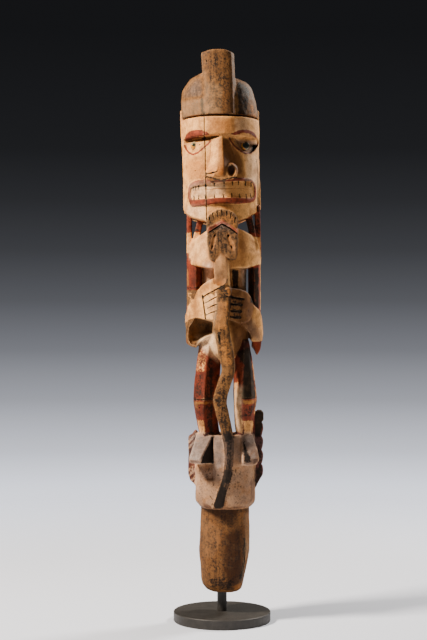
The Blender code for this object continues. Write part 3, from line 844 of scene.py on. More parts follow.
@dataclass(frozen=True)
class PaintedWood:
    """Old light wood under lime, ochre, red and black."""

    bare: Pigment = Pigment(rgb(0.285, 0.126, 0.037), rgb(0.05, 0.024, 0.011))
    lime: Pigment = Pigment(rgb(0.9, 0.44, 0.135), rgb(0.44, 0.18, 0.048))
    ochre: Pigment = Pigment(rgb(0.5, 0.19, 0.038), rgb(0.23, 0.09, 0.027))
    red: Pigment = Pigment(rgb(0.3, 0.05, 0.019), rgb(0.085, 0.018, 0.008))
    black: Pigment = Pigment(rgb(0.085, 0.045, 0.019), rgb(0.02, 0.011, 0.006))
    gleam: float = 0.15
    warm_tint: Colour = rgb(0.66, 0.46, 0.27)
    dark_tint: Colour = rgb(0.26, 0.22, 0.2)
    # the colour that soiling and painted shade turn cuts and hollows towards
    soiling_and_shade_colour: Colour = rgb(0.016, 0.009, 0.006)
    rub: Colour = rgb(0.72, 0.44, 0.22)

    def make(self, effects: Effects) -> bpy.types.Material:
        """Wire the material.

        Args:
            effects: the shared effects.

        Returns:
            The material.
        """
        material, wires, shader = new_finish("painted wood")
        shader["Specular IOR Level"].default_value = self.gleam
        place = wires.add("TexCoord").outputs["Object"]
        grain = wires.group(effects.grain, Place=place)
        mottle = wires.group(effects.mottle, Place=place, Size=0.075)
        streak, fibre = grain["Streak"], grain["Fibre"]
        broad, blotch, fleck, speck = (mottle[name] for name in ("Broad", "Blotch", "Fleck", "Speck"))
        edge, near, far = wires.layer("edge"), wires.layer("near"), wires.layer("far")
        rubbed = wires.step(edge, 0.05, 0.28)
        worn = wires.blend((blotch, 0.12), (fleck, 0.42), (speck, 0.28), (streak, 0.18))
        ragged = wires.span(worn, 0.34, 0.66)
        bared = wires.maths("SUBTRACT", 1.0, ragged)
        figure = wires.step(wires.blend((streak, 0.18), (blotch, 0.24), (fleck, 0.33), (speck, 0.25)), 0.4, 0.6)
        colour = wires.mix(figure, self.bare.deep, self.bare.light)
        height = wires.blend((fibre, 0.35), (speck, 0.3))
        cloud = wires.blend((blotch, 0.4), (fleck, 0.28), (broad, 0.2), (speck, 0.12))
        tones = {LIME: (0.4, 0.58), OCHRE: (0.4, 0.6), RED: (0.4, 0.6), BLACK: (0.45, 0.68)}
        pigments = {LIME: self.lime, RED: self.red, OCHRE: self.ochre, BLACK: self.black}
        for coat, pigment in pigments.items():
            rub = wires.maths("MULTIPLY", rubbed, 0.05 if coat is LIME else 0.16)
            film = wires.group(effects.film, **{"Under": colour, "Under height": height, "Light tone": pigment.light,
                "Deep tone": pigment.deep, "Tone": wires.step(cloud, *tones[coat]),
                "Ragged": bared if coat in (RED, BLACK) else ragged,
                "Amount": wires.maths("SUBTRACT", wires.layer(coat.value), rub)})
            colour, height = film["Colour"], film["Height"]
        colour = self.stain_shade_and_light(wires, colour, blotch)
        specks = wires.maths("MULTIPLY", wires.step(wires.blend((speck, 0.6), (fleck, 0.4)), 0.53, 0.62), 0.7)
        colour = wires.mix(specks, colour, rgb(0.3, 0.19, 0.13), "MULTIPLY")
        # soiling and painted shade: cuts and hollows darkened by how hemmed in they are
        grime = wires.group(effects.grime, Under=colour, SoilingAndShade=self.soiling_and_shade_colour, Near=near, Far=far, Fleck=fleck)
        pale = wires.maths("MULTIPLY", rubbed, wires.maths("MULTIPLY", wires.step(speck, 0.36, 0.58), 0.34))
        colour = wires.mix(pale, grime["Colour"], self.rub)
        wires.tree.links.new(colour, shader["Base Color"])
        gloss = wires.span(worn, 0.3, 0.7, 0.58, 0.84)
        wires.tree.links.new(gloss, shader["Roughness"])
        pits = wires.maths("SUBTRACT", 1.0, wires.step(speck, 0.6, 0.7))
        relief = wires.blend((height, 1.0), (pits, 0.35), (streak, 0.55), (fleck, 0.5))
        bump = wires.add("Bump", {"Height": relief, "Strength": 0.6, "Distance": 0.0012})
        wires.tree.links.new(bump.outputs[0], shader["Normal"])
        return material

    def stain_shade_and_light(self, wires: Wiring, colour: Socket, blotch: Socket) -> Socket:
        """Turn a colour warmer or greyer, and darker or paler, by stains, painted shade and painted light.

        Args:
            wires: the material's wiring.
            colour: the colour as it was painted.
            blotch: the unevenness of the stains and of the painted shade and light.

        Returns:
            The turned colour.
        """
        uneven = wires.span(blotch, 0.3, 0.7, 0.45, 1.35)
        warm = wires.maths("MULTIPLY", wires.layer("warm"), uneven)
        dark = wires.maths("MULTIPLY", wires.layer("dark"), uneven)
        colour = wires.mix(wires.maths("MULTIPLY", warm, 0.9, clamp=True), colour, self.warm_tint, "MULTIPLY")
        grey = wires.add("HueSaturation", {"Saturation": 0.35, "Color": colour}).outputs[0]
        colour = wires.mix(wires.maths("MULTIPLY", warm, -0.9, clamp=True), colour, grey)
        # darker by stains and painted shade; paler, where dark is below 0, as painted light
        colour = wires.mix(wires.maths("MULTIPLY", dark, 1.0, clamp=True), colour, self.dark_tint, "MULTIPLY")
        return wires.mix(wires.maths("MULTIPLY", dark, -0.5, clamp=True), colour, rgb(0.95, 0.66, 0.38))


@dataclass(frozen=True)
class EyeShell:
    """Polished sea-snail lid: a dark pupil, a pale body, and an orange crescent on one side."""

    name: str
    pupil_at: Point2
    pupil_size: float
    crescent_towards: Point2
    pale: Colour = rgb(0.8, 0.74, 0.62)
    orange: Colour = rgb(0.62, 0.25, 0.035)
    dark: Colour = rgb(0.018, 0.024, 0.018)
    gleam: float = 0.28

    def make(self, effects: Effects, middle: Vector, radius: float) -> bpy.types.Material:
        """Wire the material for an eye of a place and size.

        Args:
            effects: the shared effects.
            middle: the eye's centre.
            radius: the eye's radius.

        Returns:
            The material.
        """
        material, wires, shader = new_finish(self.name)
        shader["Specular IOR Level"].default_value = self.gleam
        place = wires.add("TexCoord").outputs["Object"]
        mottle = wires.group(effects.mottle, Place=place, Size=0.006)
        local = wires.vector("SUBTRACT", place, tuple(middle))
        local = wires.add("VectorMath", {0: local, "Scale": 1 / radius}, operation="SCALE").outputs[0]
        flat = wires.vector("MULTIPLY", local, (1, 0, 1))
        side = wires.vector("DOT_PRODUCT", flat, (self.crescent_towards[0], 0, self.crescent_towards[1]),
            gives="Value")
        spot = (self.pupil_at[0], 0, self.pupil_at[1])
        away = wires.vector("DISTANCE", flat, spot, gives="Value")
        away = wires.blend((away, 1.0), (mottle["Blotch"], 0.25))
        colour = wires.mix(wires.step(wires.blend((side, 1.0), (mottle["Blotch"], 0.3)), 0.25, 0.5), self.pale,
            self.orange)
        pupil = wires.step(away, self.pupil_size + 0.22, self.pupil_size + 0.02)
        colour = wires.mix(pupil, colour, self.dark)
        wires.tree.links.new(colour, shader["Base Color"])
        gloss = wires.span(mottle["Fleck"], 0.3, 0.7, 0.05, 0.14)
        wires.tree.links.new(gloss, shader["Roughness"])
        return material


@dataclass(frozen=True)
class Steel:
    """Dark waxed steel, browned and worn a little paler."""

    brown: Colour = rgb(0.016, 0.013, 0.01)
    grey: Colour = rgb(0.034, 0.029, 0.024)
    metal: float = 0.2

    def make(self, effects: Effects) -> bpy.types.Material:
        """Wire the material.

        Args:
            effects: the shared effects.

        Returns:
            The material.
        """
        material, wires, shader = new_finish("dark steel")
        shader["Metallic"].default_value = self.metal
        place = wires.add("TexCoord").outputs["Object"]
        mottle = wires.group(effects.mottle, Place=place, Size=0.06)
        patina = wires.step(wires.blend((mottle["Blotch"], 0.5), (mottle["Fleck"], 0.3), (mottle["Speck"], 0.2)),
            0.38, 0.62)
        wires.tree.links.new(wires.mix(patina, self.brown, self.grey), shader["Base Color"])
        gloss = wires.span(mottle["Fleck"], 0.3, 0.7, 0.42, 0.66)
        wires.tree.links.new(gloss, shader["Roughness"])
        bump = wires.add("Bump", {"Height": mottle["Speck"], "Strength": 0.25, "Distance": 0.0006})
        wires.tree.links.new(bump.outputs[0], shader["Normal"])
        return material


# ---- the carving's parts


@dataclass
class Head:
    """Face, brow band, domed cap and crest, with eyes, nose and mouth."""

    bench: Bench
    chin: float = 0.987
    brow_foot: float = 1.199
    brow_top: float = 1.2465
    cap_foot: float = 1.2515
    cap_top: float = 1.369
    crest_top: float = 1.412
    middle: float = -0.0025
    half_width: float = 0.0945
    front: float = 0.089
    back: float = 0.086
    ridge_front: float = 0.12
    lip_lift: float = 0.0055
    teeth_sink: float = 0.002

    def skin(self, low: float, high: float, sink: float, sink_high: float | None = None) -> list[Station]:
        """Log stations of the face between two levels, sunk by a depth that may change with height.

        Args:
            low: the lower level.
            high: the upper level.
            sink: the depth below the skin.
            sink_high: the depth at the upper level, if it differs.

        Returns:
            The stations.
        """
        top = sink if sink_high is None else sink_high
        return [(level, self.middle, self.half_width - deep, self.front - deep, self.back)
            for level, deep in ((low, sink), (high, top))]

    def masses(self) -> list[Mass]:
        """Everything of the head that stands proud.

        Returns:
            The masses, each with its ground coat.
        """
        bench, mid, half = self.bench, self.middle, self.half_width
        front, back = self.front, self.back
        face = bench.log("face", [(self.chin - 0.02, mid, half - 0.006, front - 0.006, back - 0.01),
            (self.chin + 0.06, mid, half - 0.002, front, back),
            (self.brow_foot + 0.01, mid, half, front - 0.002, back)])
        side = half + 0.02
        jaw = [
            (-side, 1.0164), *mm(-91.6, 1016.4, -73.1, 1002.6, -35.8, 990.5), (-0.0014, self.chin),
            *mm(34.5, 991.5, 65, 1004.1, 88.3, 1022), (side, 1.022),
        ]
        bench.work(face, bench.slab("jaw line", [*jaw, (side, self.brow_top), (-side, self.brow_top)]), Cut.KEEP)
        band = bench.log("brow band", [(self.brow_foot, mid, half - 0.0015, front + 0.0065, back),
            (self.brow_foot + 0.003, mid, half, front + 0.009, back + 0.001),
            (self.brow_foot + 0.008, mid, half + 0.0005, front + 0.01, back + 0.002),
            (self.brow_top - 0.004, mid - 0.001, half + 0.001, front + 0.0085, back + 0.002),
            (self.brow_top, mid - 0.001, half - 0.001, front + 0.0065, back)], between=2)
        # the cap seat is a recess between brow band and cap; its black coat is painted shade in the gap
        under = bench.log("cap seat", [(self.brow_top - 0.006, -0.004, half - 0.011, 0.077, back - 0.01),
            (self.cap_foot + 0.004, -0.004, half - 0.01, 0.078, back - 0.009)], between=1)
        cap = bench.log("cap", [(self.cap_foot, -0.005, 0.0925, 0.0865, 0.082),
            (self.cap_foot + 0.003, -0.0055, 0.094, 0.088, 0.084),
            *mm(1273, -7, 94.5, 88, 85, 1290, -8.4, 93.6, 86.8, 84, 1300, -9.7, 92.1, 86, 83,
            1310, -10.7, 90.3, 84, 81, 1320, -11.3, 87.7, 81, 78, 1330, -11, 82.8, 77, 73, 1340, -12.4, 74.9, 70, 66,
            1348, -18, 63, 60, 56, 1355, -26, 46, 45, 42, 1362, -30, 30, 32, 28, row=5),
            (self.cap_top, -0.03, 0.012, 0.014, 0.012)])
        shell = bench.log("head shell", mm(1026, 0.2, 96.6, 12, 88, 1045, 0.2, 96.8, 12, 88, 1100, -1.3, 96.1, 12, 88,
            1160, -3.4, 96.1, 12, 88, 1210, -5, 97.5, 12, 88, 1272, -6.2, 98.6, 12, 86, row=5), between=2)
        lips = bench.in_log("lips", self.lip_line(0.0), self.lip_round(), -0.02)
        return [
            Mass(face, LIME), Mass(shell, LIME), Mass(band, LIME), Mass(under, BLACK), Mass(cap, BARE),
            Mass(self.crest(), BARE), *self.nose(), Mass(lips, RED),
        ]

    def paint(self) -> list[Mark]:
        """Brows, sockets and stains of the face, cap and crest, with painted shade under the brow, in the right
        socket, round the nose and under the crest.

        Returns:
            The marks, in the order they are laid.
        """
        ring = mm(13, 1127, 20, 1131, 28, 1126, 33, 1117, 29, 1106, 20, 1103, 13, 1111)
        return [
            Dab(RED, mm(-93, 1196, -92, 1203, -87, 1210, -80, 1214, -67, 1216, -55, 1215, -43, 1211, -36, 1207,
                -30, 1201, -43, 1199, -67, 1198, -82, 1197)),
            Dab(RED, mm(20, 1202, 28, 1207, 42, 1213, 57, 1216, 72, 1215, 81, 1210, 88, 1198, 81, 1201, 67, 1207,
                50, 1207, 38, 1202, 28, 1200)),
            StainShadeAndLight(mm(42, 1200, 52, 1205, 67, 1206, 81, 1200, 88, 1196, 72, 1197, 57, 1198), 0.6, 0),
            Dab(RED, mm(-93, 1184, -89, 1173, -81, 1162, -72, 1157, -63, 1159, -50, 1167, -38, 1177, -28, 1187),
                width=0.0048),
            Dab(RED, mm(18, 1193, 25, 1181, 35, 1171, 47, 1163, 59, 1159, 72, 1162, 81, 1173, 88, 1187),
                width=0.0055),
            StainShadeAndLight(mm(-41, 1126, -9, 1121, 1, 1116, 1, 1099, -21, 1096, -43, 1105, -41, 1116), 0.6, 0),
            StainShadeAndLight(mm(-8, 1189, -2, 1190, 3, 1116, 2, 1099, -8, 1101, -7, 1140), 0.9, 0.1),
            StainShadeAndLight(mm(-89, 1148, -45, 1148, -45, 1096, -80, 1096, -89, 1111), 0.7, 0.08),
            StainShadeAndLight(mm(-33, 1243, 23, 1240, 25, 1204, -33, 1201), 0.7, 0.2),
            # the brow band's right end: darker and greyer, painted shade
            StainShadeAndLight(mm(23, 1243, 64, 1243, 67, 1211, 38, 1209, 23, 1204), -0.2, 0.35),
            # inside the right nostril: bare wood, darkened as painted shade in the hole
            Dab(BARE, ring),
            StainShadeAndLight(ring, 0.5, 1.4),
            Dab(LIME, mm(9, 1114, 10, 1125, 16, 1132, 23, 1133, 31, 1128, 36, 1117, 35, 1106, 28, 1099),
                width=0.0024),
            # under the left brow: painted shadow of the brow's overhang, darkened and laid black
            StainShadeAndLight(mm(-93, 1193, -58, 1198, -23, 1200, -22, 1192, -58, 1188, -92, 1186), 0.2, 1),
            Dab(BLACK, mm(-91, 1192, -58, 1197, -25, 1199, -24, 1195, -58, 1191, -89, 1187), 0.85),
            # right of the nose: painted shade cast by the nose, on its flank and the cheek
            StainShadeAndLight(mm(2, 1189, 13, 1187, 18, 1160, 17, 1140, 8, 1131, 5, 1101, 3, 1101, 4, 1145), 0.4, 2.2),
            StainShadeAndLight(mm(13, 1184, 28, 1175, 42, 1155, 50, 1133, 50, 1106, 38, 1106, 28, 1131, 16, 1140), 0.4, 1.7),
            StainShadeAndLight(mm(57, 1155, 89, 1160, 91, 1087, 59, 1094), -0.2, -0.5),
            # the right eye socket: painted shade, darker all over and black in its outer corner
            StainShadeAndLight(mm(33, 1188, 50, 1190, 81, 1190, 85, 1177, 72, 1165, 57, 1165, 42, 1172), -0.3, 1.6),
            Dab(BLACK, mm(73, 1182, 86, 1193, 86, 1182, 77, 1168, 68, 1165), 0.9),
            # under the nose: a black stroke of painted shadow
            Dab(BLACK, mm(-37, 1098, -22, 1093, -2, 1090, 17, 1094, 35, 1098), width=0.0028),
            # the teeth right of the nose: darker, painted shade of the nose
            StainShadeAndLight(mm(13, 1084, 67, 1089, 72, 1053, 16, 1050), 0.2, 0.3),
            StainShadeAndLight(mm(-80, 1082, 8, 1087, 8, 1053, -77, 1050), -0.2, -0.5),
            StainShadeAndLight(mm(-80, 1090, -41, 1095, -2, 1089, -2, 1083, -41, 1088, -77, 1080), 0, -0.14),
            StainShadeAndLight(mm(-89, 1031, -41, 1028, -41, 996, -84, 1011), -0.2, -0.4),
            StainShadeAndLight(mm(-94, 1296, -90, 1313, -72, 1335, -48, 1349, -45, 1296, -80, 1296), -0.4, 0.3),
            StainShadeAndLight(mm(-102, 1293, -48, 1293, -48, 1247, -102, 1242), 0.9, -0.25),
            # on the cap beside the crest: black, painted shadow of the crest
            Dab(BLACK, mm(-56, 1292, -44, 1296, -43, 1249, -55, 1248), 0.7),
            Dab(BLACK, mm(34, 1340, 50, 1337, 65, 1325, 73, 1308, 68, 1288, 66, 1269, 61, 1249, 35, 1249), 0.8,
                0.006),
            Dab(OCHRE, mm(66, 1286, 79, 1288, 88, 1264, 89, 1244, 67, 1247, 63, 1269), 0.62, 0.01),
            Dab(LIME, mm(29, 1349, 32, 1349, 35, 1247, 31, 1247), 0.9),
            StainShadeAndLight(mm(-54, 1403, -45, 1403, -42, 1334, -42, 1247, -45, 1247, -48, 1334, -52, 1354), 0.8, -0.25),
            StainShadeAndLight(mm(-45, 1410, 29, 1405, 29, 1334, -6, 1339, -26, 1349, -43, 1368), 0.1, 0.35),
            Dab(BLACK, mm(-41, 1403, 25, 1398, 25, 1256, -41, 1256), 0.4, 0.01),
            StainShadeAndLight(mm(-42, 1329, 3, 1320, 3, 1249, -42, 1249), 0.4, -0.16),
            StainShadeAndLight(mm(6, 1334, 26, 1344, 30, 1247, 3, 1247), 0.5, 0.3),
        ]

    def lip_line(self, inward: float) -> list[Point2]:
        """The mouth's outer line, or the line of the teeth where inward is 1.

        Args:
            inward: how much of the lip is left out.

        Returns:
            The (x, z) points.
        """
        outer = mm(-84.2, 1060, -83.5, 1072, -79, 1084, -70, 1089, -55.1, 1091.1, 5.8, 1094.5, 64, 1097.2, 76, 1092.5,
            82, 1082, 84.2, 1067, 83.5, 1054, 78, 1044, 64, 1038.7, 37.4, 1035.2, 0.9, 1035.2, -23.5, 1033.8,
            -70, 1029, -77.5, 1035, -82.5, 1047)
        inner = mm(-79.5, 1061, -78.5, 1071.5, -74, 1077, -65, 1078.5, -55.1, 1079.7, 5.8, 1086.8, 64, 1090.5,
            74, 1087, 79, 1079, 80.8, 1067, 80, 1058, 76, 1051.5, 64, 1049, 37.4, 1048.4, 0.9, 1048, -23.5, 1047.2,
            -69, 1044.8, -75.5, 1048, -78.5, 1054)
        line = [tuple(Vector(a).lerp(Vector(b), inward)) for a, b in zip(outer, inner)]
        return eased(line, 3, closed=True)

    def lip_round(self) -> list[Station]:
        """The round that the lips are trimmed to."""
        lift = self.lip_lift
        return [(level, self.middle, self.half_width - 0.0005, self.front + lift, 0.01) for level in (1.0, 1.13)]

    def crest(self) -> Solid:
        """The tall slab on the cap: gently rounded front and top, running back over the cap.

        Returns:
            The piece.
        """
        rings = []
        rows = (
            (self.cap_foot, -0.043, 0.0345, 0.099, 0.03), (1.325, -0.046, 0.032, 0.0925, 0.03),
            (self.crest_top - 0.012, -0.051, 0.029, 0.086, 0.024),
        )
        for level, left, right, front, back in eased(rows, 5):
            middle, half = (left + right) / 2, (right - left) / 2
            ring = []
            for step in range(13):
                share = -1 + 2 * step / 12
                ring.append((middle + half * share, -front + 0.008 * share**4 + 0.005 * share**2, level))
            ring[-1] = (right, -front + 0.022, level)
            ring += [
                (right, back, level), (middle + half * 0.6, back + 0.006, level),
                (middle - half * 0.6, back + 0.006, level), (left, back, level),
            ]
            rings.append(ring)
        for lift, draw in ((0.5, 0.995), (0.85, 0.975), (1.0, 0.93)):
            crown = []
            for x, y, level in rings[len(rows) * 5 - 5]:
                share = (x - middle) / half
                rise = lift * 0.0125 * (1 - 0.55 * share * share)
                crown.append((middle + draw * (x - middle), -0.03 + draw * (y + 0.03), level + rise))
            rings.append(crown)
        return self.bench.rise("crest", rings)

    def nose(self) -> list[Mass]:
        """A long wedge with a flat ridge, widening to two wings.

        Returns:
            Wedge and wings.
        """
        rows = (
            *mm(1206, -25, -9.5, 0, 15, 80, 94, 1191.5, -26.5, -9, 0.4, 18, 80, 97,
                1162.4, -29, -9.5, 1.2, 26, 80, 105, 1138, -30.8, -11.5, 3.2, 30, 80, 112.5, row=7),
            (1.118, -0.037, -0.0135, 0.0044, 0.035, 0.078, self.ridge_front - 0.001),
            (1.104, -0.0395, -0.019, 0.0044, 0.035, 0.076, self.ridge_front),
            (1.096, -0.034, -0.023, 0.0036, 0.032, 0.076, self.ridge_front - 0.003),
            (1.092, -0.028, -0.023, 0.0, 0.027, 0.076, self.ridge_front - 0.011),
        )
        rings = []
        for level, left, ridge_left, ridge_right, right, foot, front in eased(rows, 3):
            fill = 0.72 if level < 1.125 else 0.5
            shoulder = foot + fill * (front - foot)
            rings.append([(left, -0.05, level), (left, -foot, level),
                (left + 0.35 * (ridge_left - left), -shoulder, level), (ridge_left, -front, level),
                (ridge_right, -front, level), (right, -foot, level), (right, -0.05, level)])
        wedge = self.bench.rise("nose", rings)
        left = self.bench.ball("left nose wing", (-0.0255, -0.0945, 1.106), (0.0165, 0.0165, 0.0158))
        right = self.bench.ball("right nose wing", (0.0215, -0.0935, 1.113), (0.0165, 0.0225, 0.0195))
        return [Mass(wedge, LIME), Mass(left, LIME), Mass(right, LIME)]

    def hollows(self) -> list[Solid]:
        """Tools for the eye sockets, the undercut below the brow, the teeth and the right nostril.

        Returns:
            The tools.
        """
        bench, roof = self.bench, self.brow_foot - 0.0002
        teeth = bench.over_log("teeth", self.lip_line(1.0), self.skin(0.95, 1.18, self.teeth_sink))
        left_rim = eased(mm(-96.5, 1190, -93.5, 1180, -89.5, 1170.5, -82.2, 1161.1, -72.4, 1157.9, -60.2, 1162.1,
            -47.9, 1169.3, -35.7, 1178, -26.8, 1190), 3)
        left = bench.over_log("left socket", [*left_rim, (-0.0268, roof), (-0.0965, roof)],
            self.skin(1.155, 1.2, 0.003, 0.006))
        lens = eased(mm(-96, 1190, -79.7, 1188.6, -55.2, 1187.6, -38.1, 1189.1, -20, 1192.5, -6, 1196), 3)
        undercut = bench.over_log("left undercut", [*lens, (-0.006, roof), (-0.096, roof)],
            self.skin(1.15, 1.25, 0.016))
        right_rim = eased(mm(16.5, 1196, 20.5, 1190, 29, 1179, 42.6, 1168.4, 57.3, 1161.1, 70, 1161.2, 80, 1169,
            87, 1181, 91.5, 1190), 3)
        right = bench.over_log("right socket", [*right_rim, (0.0915, roof), (0.0165, roof)],
            self.skin(1.155, 1.2, 0.006, 0.003))
        lid = mm(90, 1185, 78, 1183.5, 66.9, 1182.2, 49.8, 1184, 37.6, 1189.5, 30, 1196, 18, 1197.5)
        deep = bench.over_log("right eye hollow", [*right_rim[2:-4], *lid], self.skin(1.15, 1.2, 0.009, 0.013))
        nostril = bench.ball("right nostril", (0.0228, -0.1165, 1.1118), (0.0118, 0.018, 0.015))
        return [teeth, left, undercut, right, deep, nostril]


@dataclass
class Shoulders:
    """The round shoulder plate, the neck, and the openwork bars under the head."""

    bench: Bench
    middle: float = 0.006
    half_width: float = 0.0915
    front: float = 0.096
    back: float = 0.078
    foot: float = 0.8755
    top: float = 0.979

    def masses(self) -> list[Mass]:
        """Plate, neck and bars.

        Returns:
            The masses, each with its ground coat.
        """
        outline = [
            *mm(-95, 893.5, -56, 881.5, -21.8, 876), (0.0237, self.foot),
            *mm(60.8, 878.5, 110, 895, 110, 925, 92.5, 937.5, 71.9, 960, 40, 974.5), (-0.0014, self.top),
            *mm(-37, 969.2, -60.3, 954, -78, 937, -95, 912),
        ]
        plate = self.bench.in_log("shoulder plate", outline, [(0.85, self.middle, self.half_width - 0.001, self.front,
            self.back), (0.915, self.middle, self.half_width, self.front - 0.004, self.back),
            (1.0, self.middle, self.half_width - 0.012, self.front - 0.024, self.back - 0.01)], 0.2)
        neck = self.bench.log("neck", mm(930, 2, 34, 80, 45, 1020, 2, 31, 75, 45, row=5), 0.8, 1)
        masses = [Mass(plate, LIME), Mass(neck, BARE)]
        for name, foot, head, half, front, back in (("left outer bar", *mm(-81.5, 905, -81.5, 1030), 0.006, -0.0264,
                0.0283), ("left inner bar", *mm(-69, 935, -49.5, 1012), 0.0072, -0.0407, 0.0112),
                ("right outer bar", *mm(90.5, 905, 88, 1035), 0.0064, -0.0267, 0.0291),
                ("right inner bar", *mm(84.5, 925, 62.5, 1022), 0.0076, -0.0412, 0.0107)):
            sides = [
                (foot[0] - half, foot[1]), (foot[0] + half, foot[1]), (head[0] + half, head[1]),
                (head[0] - half, head[1]),
            ]
            masses.append(Mass(self.bench.slab(name, sides, front, back), RED))
        return masses

    def paint(self) -> list[Mark]:
        """Paint of the bars and of the plate, with the shield's shadow painted on the plate.

        Returns:
            The marks, in the order they are laid.
        """
        return [
            Dab(LIME, mm(-93, 966, -73, 966, -73, 916, -93, 916)),
            Dab(LIME, mm(-81, 967, -38, 967, -38, 931, -88, 931)),
            Dab(BLACK, mm(-68, 976, -41, 976, -41, 968, -71, 968), 0.8),
            Dab(BLACK, mm(53, 1005, 98, 1005, 98, 958, 58, 963), 0.6, 0.006),
            Dab(LIME, mm(68, 958, 98, 958, 98, 894, 83, 904), 0.8, 0.004),
            StainShadeAndLight(mm(-84, 931, -55, 960, -36, 965, -31, 892, -26, 877, -80, 892), 0.1, -0.35),
            # the plate right of the shield: darker, painted shadow of the shield
            StainShadeAndLight(mm(40, 962, 59, 950, 59, 882, 25, 877, 25, 901, 42, 904), 0.5, 0.3),
        ]


@dataclass
class Trunk:
    """The narrow trunk, swelling to a round belly."""

    bench: Bench
    middle: float = 0.006

    def masses(self) -> list[Mass]:
        """Trunk and belly.

        Returns:
            The masses, each with its ground coat.
        """
        mid = self.middle
        rows = [
            (0.649, mid + 0.004, 0.01, 0.04, 0.02), (0.656, mid + 0.002, 0.027, 0.06, 0.04),
            (0.672, mid, 0.0435, 0.073, 0.052), (0.7, mid, 0.058, 0.08, 0.058), (0.735, mid, 0.062, 0.08, 0.056),
            (0.78, mid, 0.058, 0.064, 0.05), (0.825, mid, 0.054, 0.048, 0.044), (0.9, mid, 0.0545, 0.05, 0.044),
        ]
        return [Mass(self.bench.log("belly", rows, 0.85), LIME)]


def limb_ring(level: float, outer: float, ridge: float, inner: float, front: float, side: float, back: float) -> Ring:
    """Lay a level section of a faceted limb whose front ridge stands between two slanting faces.

    Args:
        level: the section's height.
        outer: x of the outer side.
        ridge: x of the front ridge.
        inner: x of the inner side.
        front: how far the ridge stands out.
        side: how far the sides stand out.
        back: how far the limb goes back.

    Returns:
        The ring's corners.
    """
    rim = 0.3
    swell = front - side
    return [
        (outer, back, level), (outer, -side, level), (outer + rim * (ridge - outer), -side - 0.7 * swell, level),
        (ridge, -front, level), (inner + rim * (ridge - inner), -side - 0.55 * swell, level), (inner, -side, level),
        (inner, back, level),
    ]


